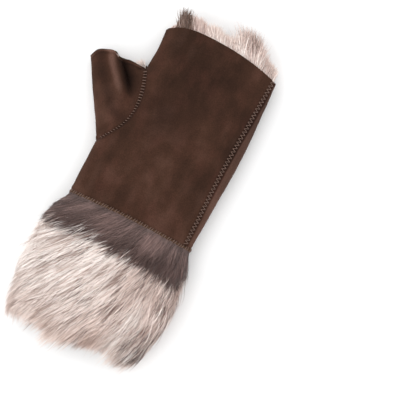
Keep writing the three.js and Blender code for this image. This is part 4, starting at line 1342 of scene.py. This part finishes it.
# Stitches
stitching = {
    "radius": 0.3,
    "sides": 6,
    "steps": 7,
    "zigzagPitch": 3.2,
    "zigzagHalf": 1.8,
    "thumbPitch": 2.5,
    "thumbHalf": 1.45,
    "thumbRadius": 0.36,
    "wristPitch": 2.5,
    "wristRadius": 0.45,
    "wristSlant": 1.5,
    "seed": 5,
}


def skinFinder(*pieces):
    # finds how high the pieces reach at a point seen from above
    trees = []
    for piece in pieces:
        mesh = piece.data
        trees.append(BVHTree.FromPolygons([v.co for v in mesh.vertices], [p.vertices for p in mesh.polygons]))

    def heightAt(x, y):
        start = Vector(toFrame([x, y, 0])) + Vector((0, 0, 0.1))
        best = None
        for tree in trees:
            hit = tree.ray_cast(start, Vector((0, 0, -1)))[0]
            if hit is not None and (best is None or hit.z > best):
                best = hit.z
        return None if best is None else best * 1000

    return heightAt


def addStitch(verts, faces, path, radius, sides):
    # a short thread whose ends narrow where they go into the hide
    path = np.array(path)
    ways = np.gradient(path, axis=0)
    first = len(verts)
    for i, (point, way) in enumerate(zip(path, ways)):
        way = way / (np.linalg.norm(way) + 1e-9)
        side = np.cross(way, [0, 0, 1.0])
        side /= np.linalg.norm(side) + 1e-9
        lift = np.cross(side, way)
        thick = radius * (0.65 if i in (0, len(path) - 1) else 1.0)
        for k in range(sides):
            turn = 2 * math.pi * k / sides
            verts.append(point + thick * (math.cos(turn) * side + math.sin(turn) * lift))
    for i in range(len(path) - 1):
        for k in range(sides):
            m = (k + 1) % sides
            a, b = first + i * sides, first + (i + 1) * sides
            faces.append((a + k, b + k, b + m, a + m))
    faces.append(tuple(first + k for k in range(sides)))
    faces.append(tuple(first + (len(path) - 1) * sides + k for k in reversed(range(sides))))


def layStitch(verts, faces, heightAt, start, end, rng, radius):
    # from one hole to the next, over whatever is between
    steps = np.linspace(0, 1, stitching["steps"])
    path = []
    for t in steps:
        x, y = start[0] + (end[0] - start[0]) * t, start[1] + (end[1] - start[1]) * t
        z = heightAt(x, y)
        if z is None:
            return
        path.append([x, y, z])
    path = np.array(path)
    top = path[:, 2].max()
    arch = np.sin(np.pi * steps)
    path[:, 2] += (top - path[:, 2]) * 0.75 * arch + radius * (1.3 * arch**0.5 - 0.4)
    addStitch(verts, faces, path, radius * rng.uniform(0.9, 1.1), stitching["sides"])


def stitchPiece(name, verts, faces):
    mesh = bpy.data.meshes.new(name)
    mesh.from_pydata(toFrame(np.array(verts)).tolist(), [], faces)
    mesh.update()
    smoothFaces(mesh)
    return newPiece(name, mesh, [thread])


heightAt = skinFinder(hand, thumbTube)
rng = np.random.default_rng(stitching["seed"])


def makeSideStitches():
    verts, faces = [], []
    y = 3.0
    side = 1
    while y < handLength + 1.5:
        x = float(sideSeamX(min(y / handLength, 1)))
        nextY = y + stitching["zigzagPitch"] / 2
        nextX = float(sideSeamX(min(nextY / handLength, 1)))
        half = side * stitching["zigzagHalf"]
        layStitch(verts, faces, heightAt, (x - half, y), (nextX + half, nextY), rng, stitching["radius"])
        y, side = nextY, -side
    return stitchPiece("side_stitches", verts, faces)


def makeThumbStitches():
    verts, faces = [], []
    ways = np.gradient(seamCurve, axis=0)
    lengths = np.concatenate([[0], np.cumsum(np.linalg.norm(np.diff(seamCurve, axis=0), axis=1))])
    for place in np.arange(5.0, lengths[-1] - 1.5, stitching["thumbPitch"]):
        x, y = (np.interp(place, lengths, seamCurve[:, k]) for k in (0, 1))
        way = np.array([np.interp(place, lengths, ways[:, k]) for k in (0, 1)])
        way /= np.linalg.norm(way)
        out = np.array([way[1], -way[0]])
        z = float(palmHeights(x, y)[0] - thumbFold(np.array([x]), np.array([y]))[0])
        x = x - float(seamSlant(y)) * (seamTop - z)
        half = stitching["thumbHalf"] * (0.55 + 0.6 * float(fade(80, 100, y)))
        slant = 0.5 - 0.4 * float(fade(80, 100, y))
        start = (x - out[0] * half - way[0] * slant, y - out[1] * half - way[1] * slant)
        end = (x + out[0] * half + way[0] * slant, y + out[1] * half + way[1] * slant)
        layStitch(verts, faces, heightAt, start, end, rng, stitching["thumbRadius"])
    return stitchPiece("thumb_stitches", verts, faces)


# the welt where the hand and the cuff are sewn together, and the thread round it
wristRoll = {
    "radius": 1.25,
    "sides": 8,
    "around": 240,
    "inset": 0.7,
    "shift": -0.2,  # from the seam towards the cuff
    "waveHeight": 0.22,
    "waveSize": 5,
}


def makeWristSeam():
    count, sides = wristRoll["around"], wristRoll["sides"]
    alongHand = np.array([0, 1.0, 0])
    angles = angleAround(np.arange(count) / count * cuffPerimeter)
    middle = handSurface(np.zeros(count), angles, wristRoll["inset"])
    middle[:, 1] += wristRoll["shift"]
    spread = np.roll(middle, -1, axis=0) - np.roll(middle, 1, axis=0)
    out = np.stack([spread[:, 2], np.zeros(count), -spread[:, 0]], axis=-1)
    out /= np.linalg.norm(out, axis=-1, keepdims=True)
    radii = wristRoll["radius"] + wristRoll["waveHeight"] * softNoise(middle, wristRoll["waveSize"], 21)
    turns = 2 * np.pi * np.arange(sides) / sides
    ringShape = np.cos(turns)[None, :, None] * alongHand + np.sin(turns)[None, :, None] * out[:, None]
    rings = middle[:, None] + radii[:, None, None] * ringShape
    mesh = gridMesh("wrist_welt", np.concatenate([rings, rings[:1]]), reverse=True)
    weld(mesh)
    smoothFaces(mesh)
    verts, faces = [], []
    stitches = int(cuffPerimeter / stitching["wristPitch"])
    for i in range(stitches):
        k = int((i + 0.5) / stitches * count) % count
        direction = spread[k] / np.linalg.norm(spread[k])
        path = []
        for t in np.linspace(-0.15, 1.15, stitching["steps"]):
            turn = math.pi * t
            around = math.cos(turn) * alongHand * 1.25 + math.sin(turn) * out[k]
            overWelt = middle[k] + (radii[k] + stitching["radius"] * 0.55) * around
            path.append(overWelt + direction * stitching["wristSlant"] * (t - 0.5))
        addStitch(verts, faces, path, stitching["wristRadius"], stitching["sides"])
    return newPiece("wrist_welt", mesh, [weltEdge]), stitchPiece("wrist_stitches", verts, faces)


sideStitches = makeSideStitches()
thumbStitches = makeThumbStitches()
welt, wristStitches = makeWristSeam()
print("stitches made")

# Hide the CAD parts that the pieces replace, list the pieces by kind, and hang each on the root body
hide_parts("hand_panel")
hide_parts("thumb_piece")
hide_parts("cuff_hide")
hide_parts("cuff_fur")
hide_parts("finger_pile")
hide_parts("thumb_pile")
slots = {
    "suede": [hand, thumbTube, welt],
    "hide": [skin],
    "fur": [under, inner, *furPieces],
    "pile": [fingerWool, fingerBase, thumbPile],
    "thread": [sideStitches, thumbStitches, wristStitches],
}
for slotName, pieces in slots.items():
    for piece in pieces:
        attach(piece, "root")

# Table, light and camera
studio = {
    "table": "#fafafa",
    "tableReach": 3.0,
    "worldStrength": 1.02,
    "lightSize": 1.4,
    "keyPower": 4.9,
    "keySpot": (-0.55, 0.35, 1.0),
    "fillPower": 2.3,
    "fillSpot": (-0.15, -0.63, 0.9),
    "lens": 100,
    "sensor": 36,
    "photoWidth": 336,  # mm that the photograph spans at the mitten
    "aim": (44.8, 41.8),
    "aimHeight": 24,
    "pictureUp": (-0.45, 0.893),  # the picture's upward direction, seen from above
}


def addLight(name, power, spot):
    light = bpy.data.lights.new(name, "AREA")
    light.energy = power
    light.size = studio["lightSize"]
    lamp = bpy.data.objects.new(name, light)
    bpy.context.scene.collection.objects.link(lamp)
    lamp.location = spot
    lamp.rotation_mode = "QUATERNION"
    lamp.rotation_quaternion = (-Vector(spot)).to_track_quat("-Z", "Y")


# matt white board, so smooth that it shows nothing but soft shadows
whiteTable = newMaterial("whiteTable")
finishMaterial(whiteTable, None, Base_Color=linear(studio["table"]), Roughness=0.9)
tableMesh = bpy.data.meshes.new("table")
reach = studio["tableReach"]
corners = [(-reach, -reach, 0), (reach, -reach, 0), (reach, reach, 0), (-reach, reach, 0)]
tableMesh.from_pydata(corners, [], [(0, 1, 2, 3)])
table = newPiece("table", tableMesh, [whiteTable])

world = bpy.data.worlds.new("studio")
world.use_nodes = True
background = world.node_tree.nodes["Background"]
background.inputs["Color"].default_value = (1, 1, 1, 1)
background.inputs["Strength"].default_value = studio["worldStrength"]
bpy.context.scene.world = world
addLight("key", studio["keyPower"], studio["keySpot"])
addLight("fill", studio["fillPower"], studio["fillSpot"])
bpy.context.scene.view_settings.view_transform = "Standard"

cameraData = bpy.data.cameras.new("camera")
cameraData.lens = studio["lens"]
cameraData.sensor_width = studio["sensor"]
cameraData.clip_start = 0.05
camera = bpy.data.objects.new("camera", cameraData)
bpy.context.scene.collection.objects.link(camera)
aim = Vector(toFrame([*studio["aim"], studio["aimHeight"]]))
distance = studio["photoWidth"] / 1000 * studio["lens"] / studio["sensor"]
camera.location = aim + Vector((0, 0, distance))
camera.rotation_euler = (0, 0, math.atan2(-studio["pictureUp"][0], studio["pictureUp"][1]))
bpy.context.scene.camera = camera

print("table, light and camera set")
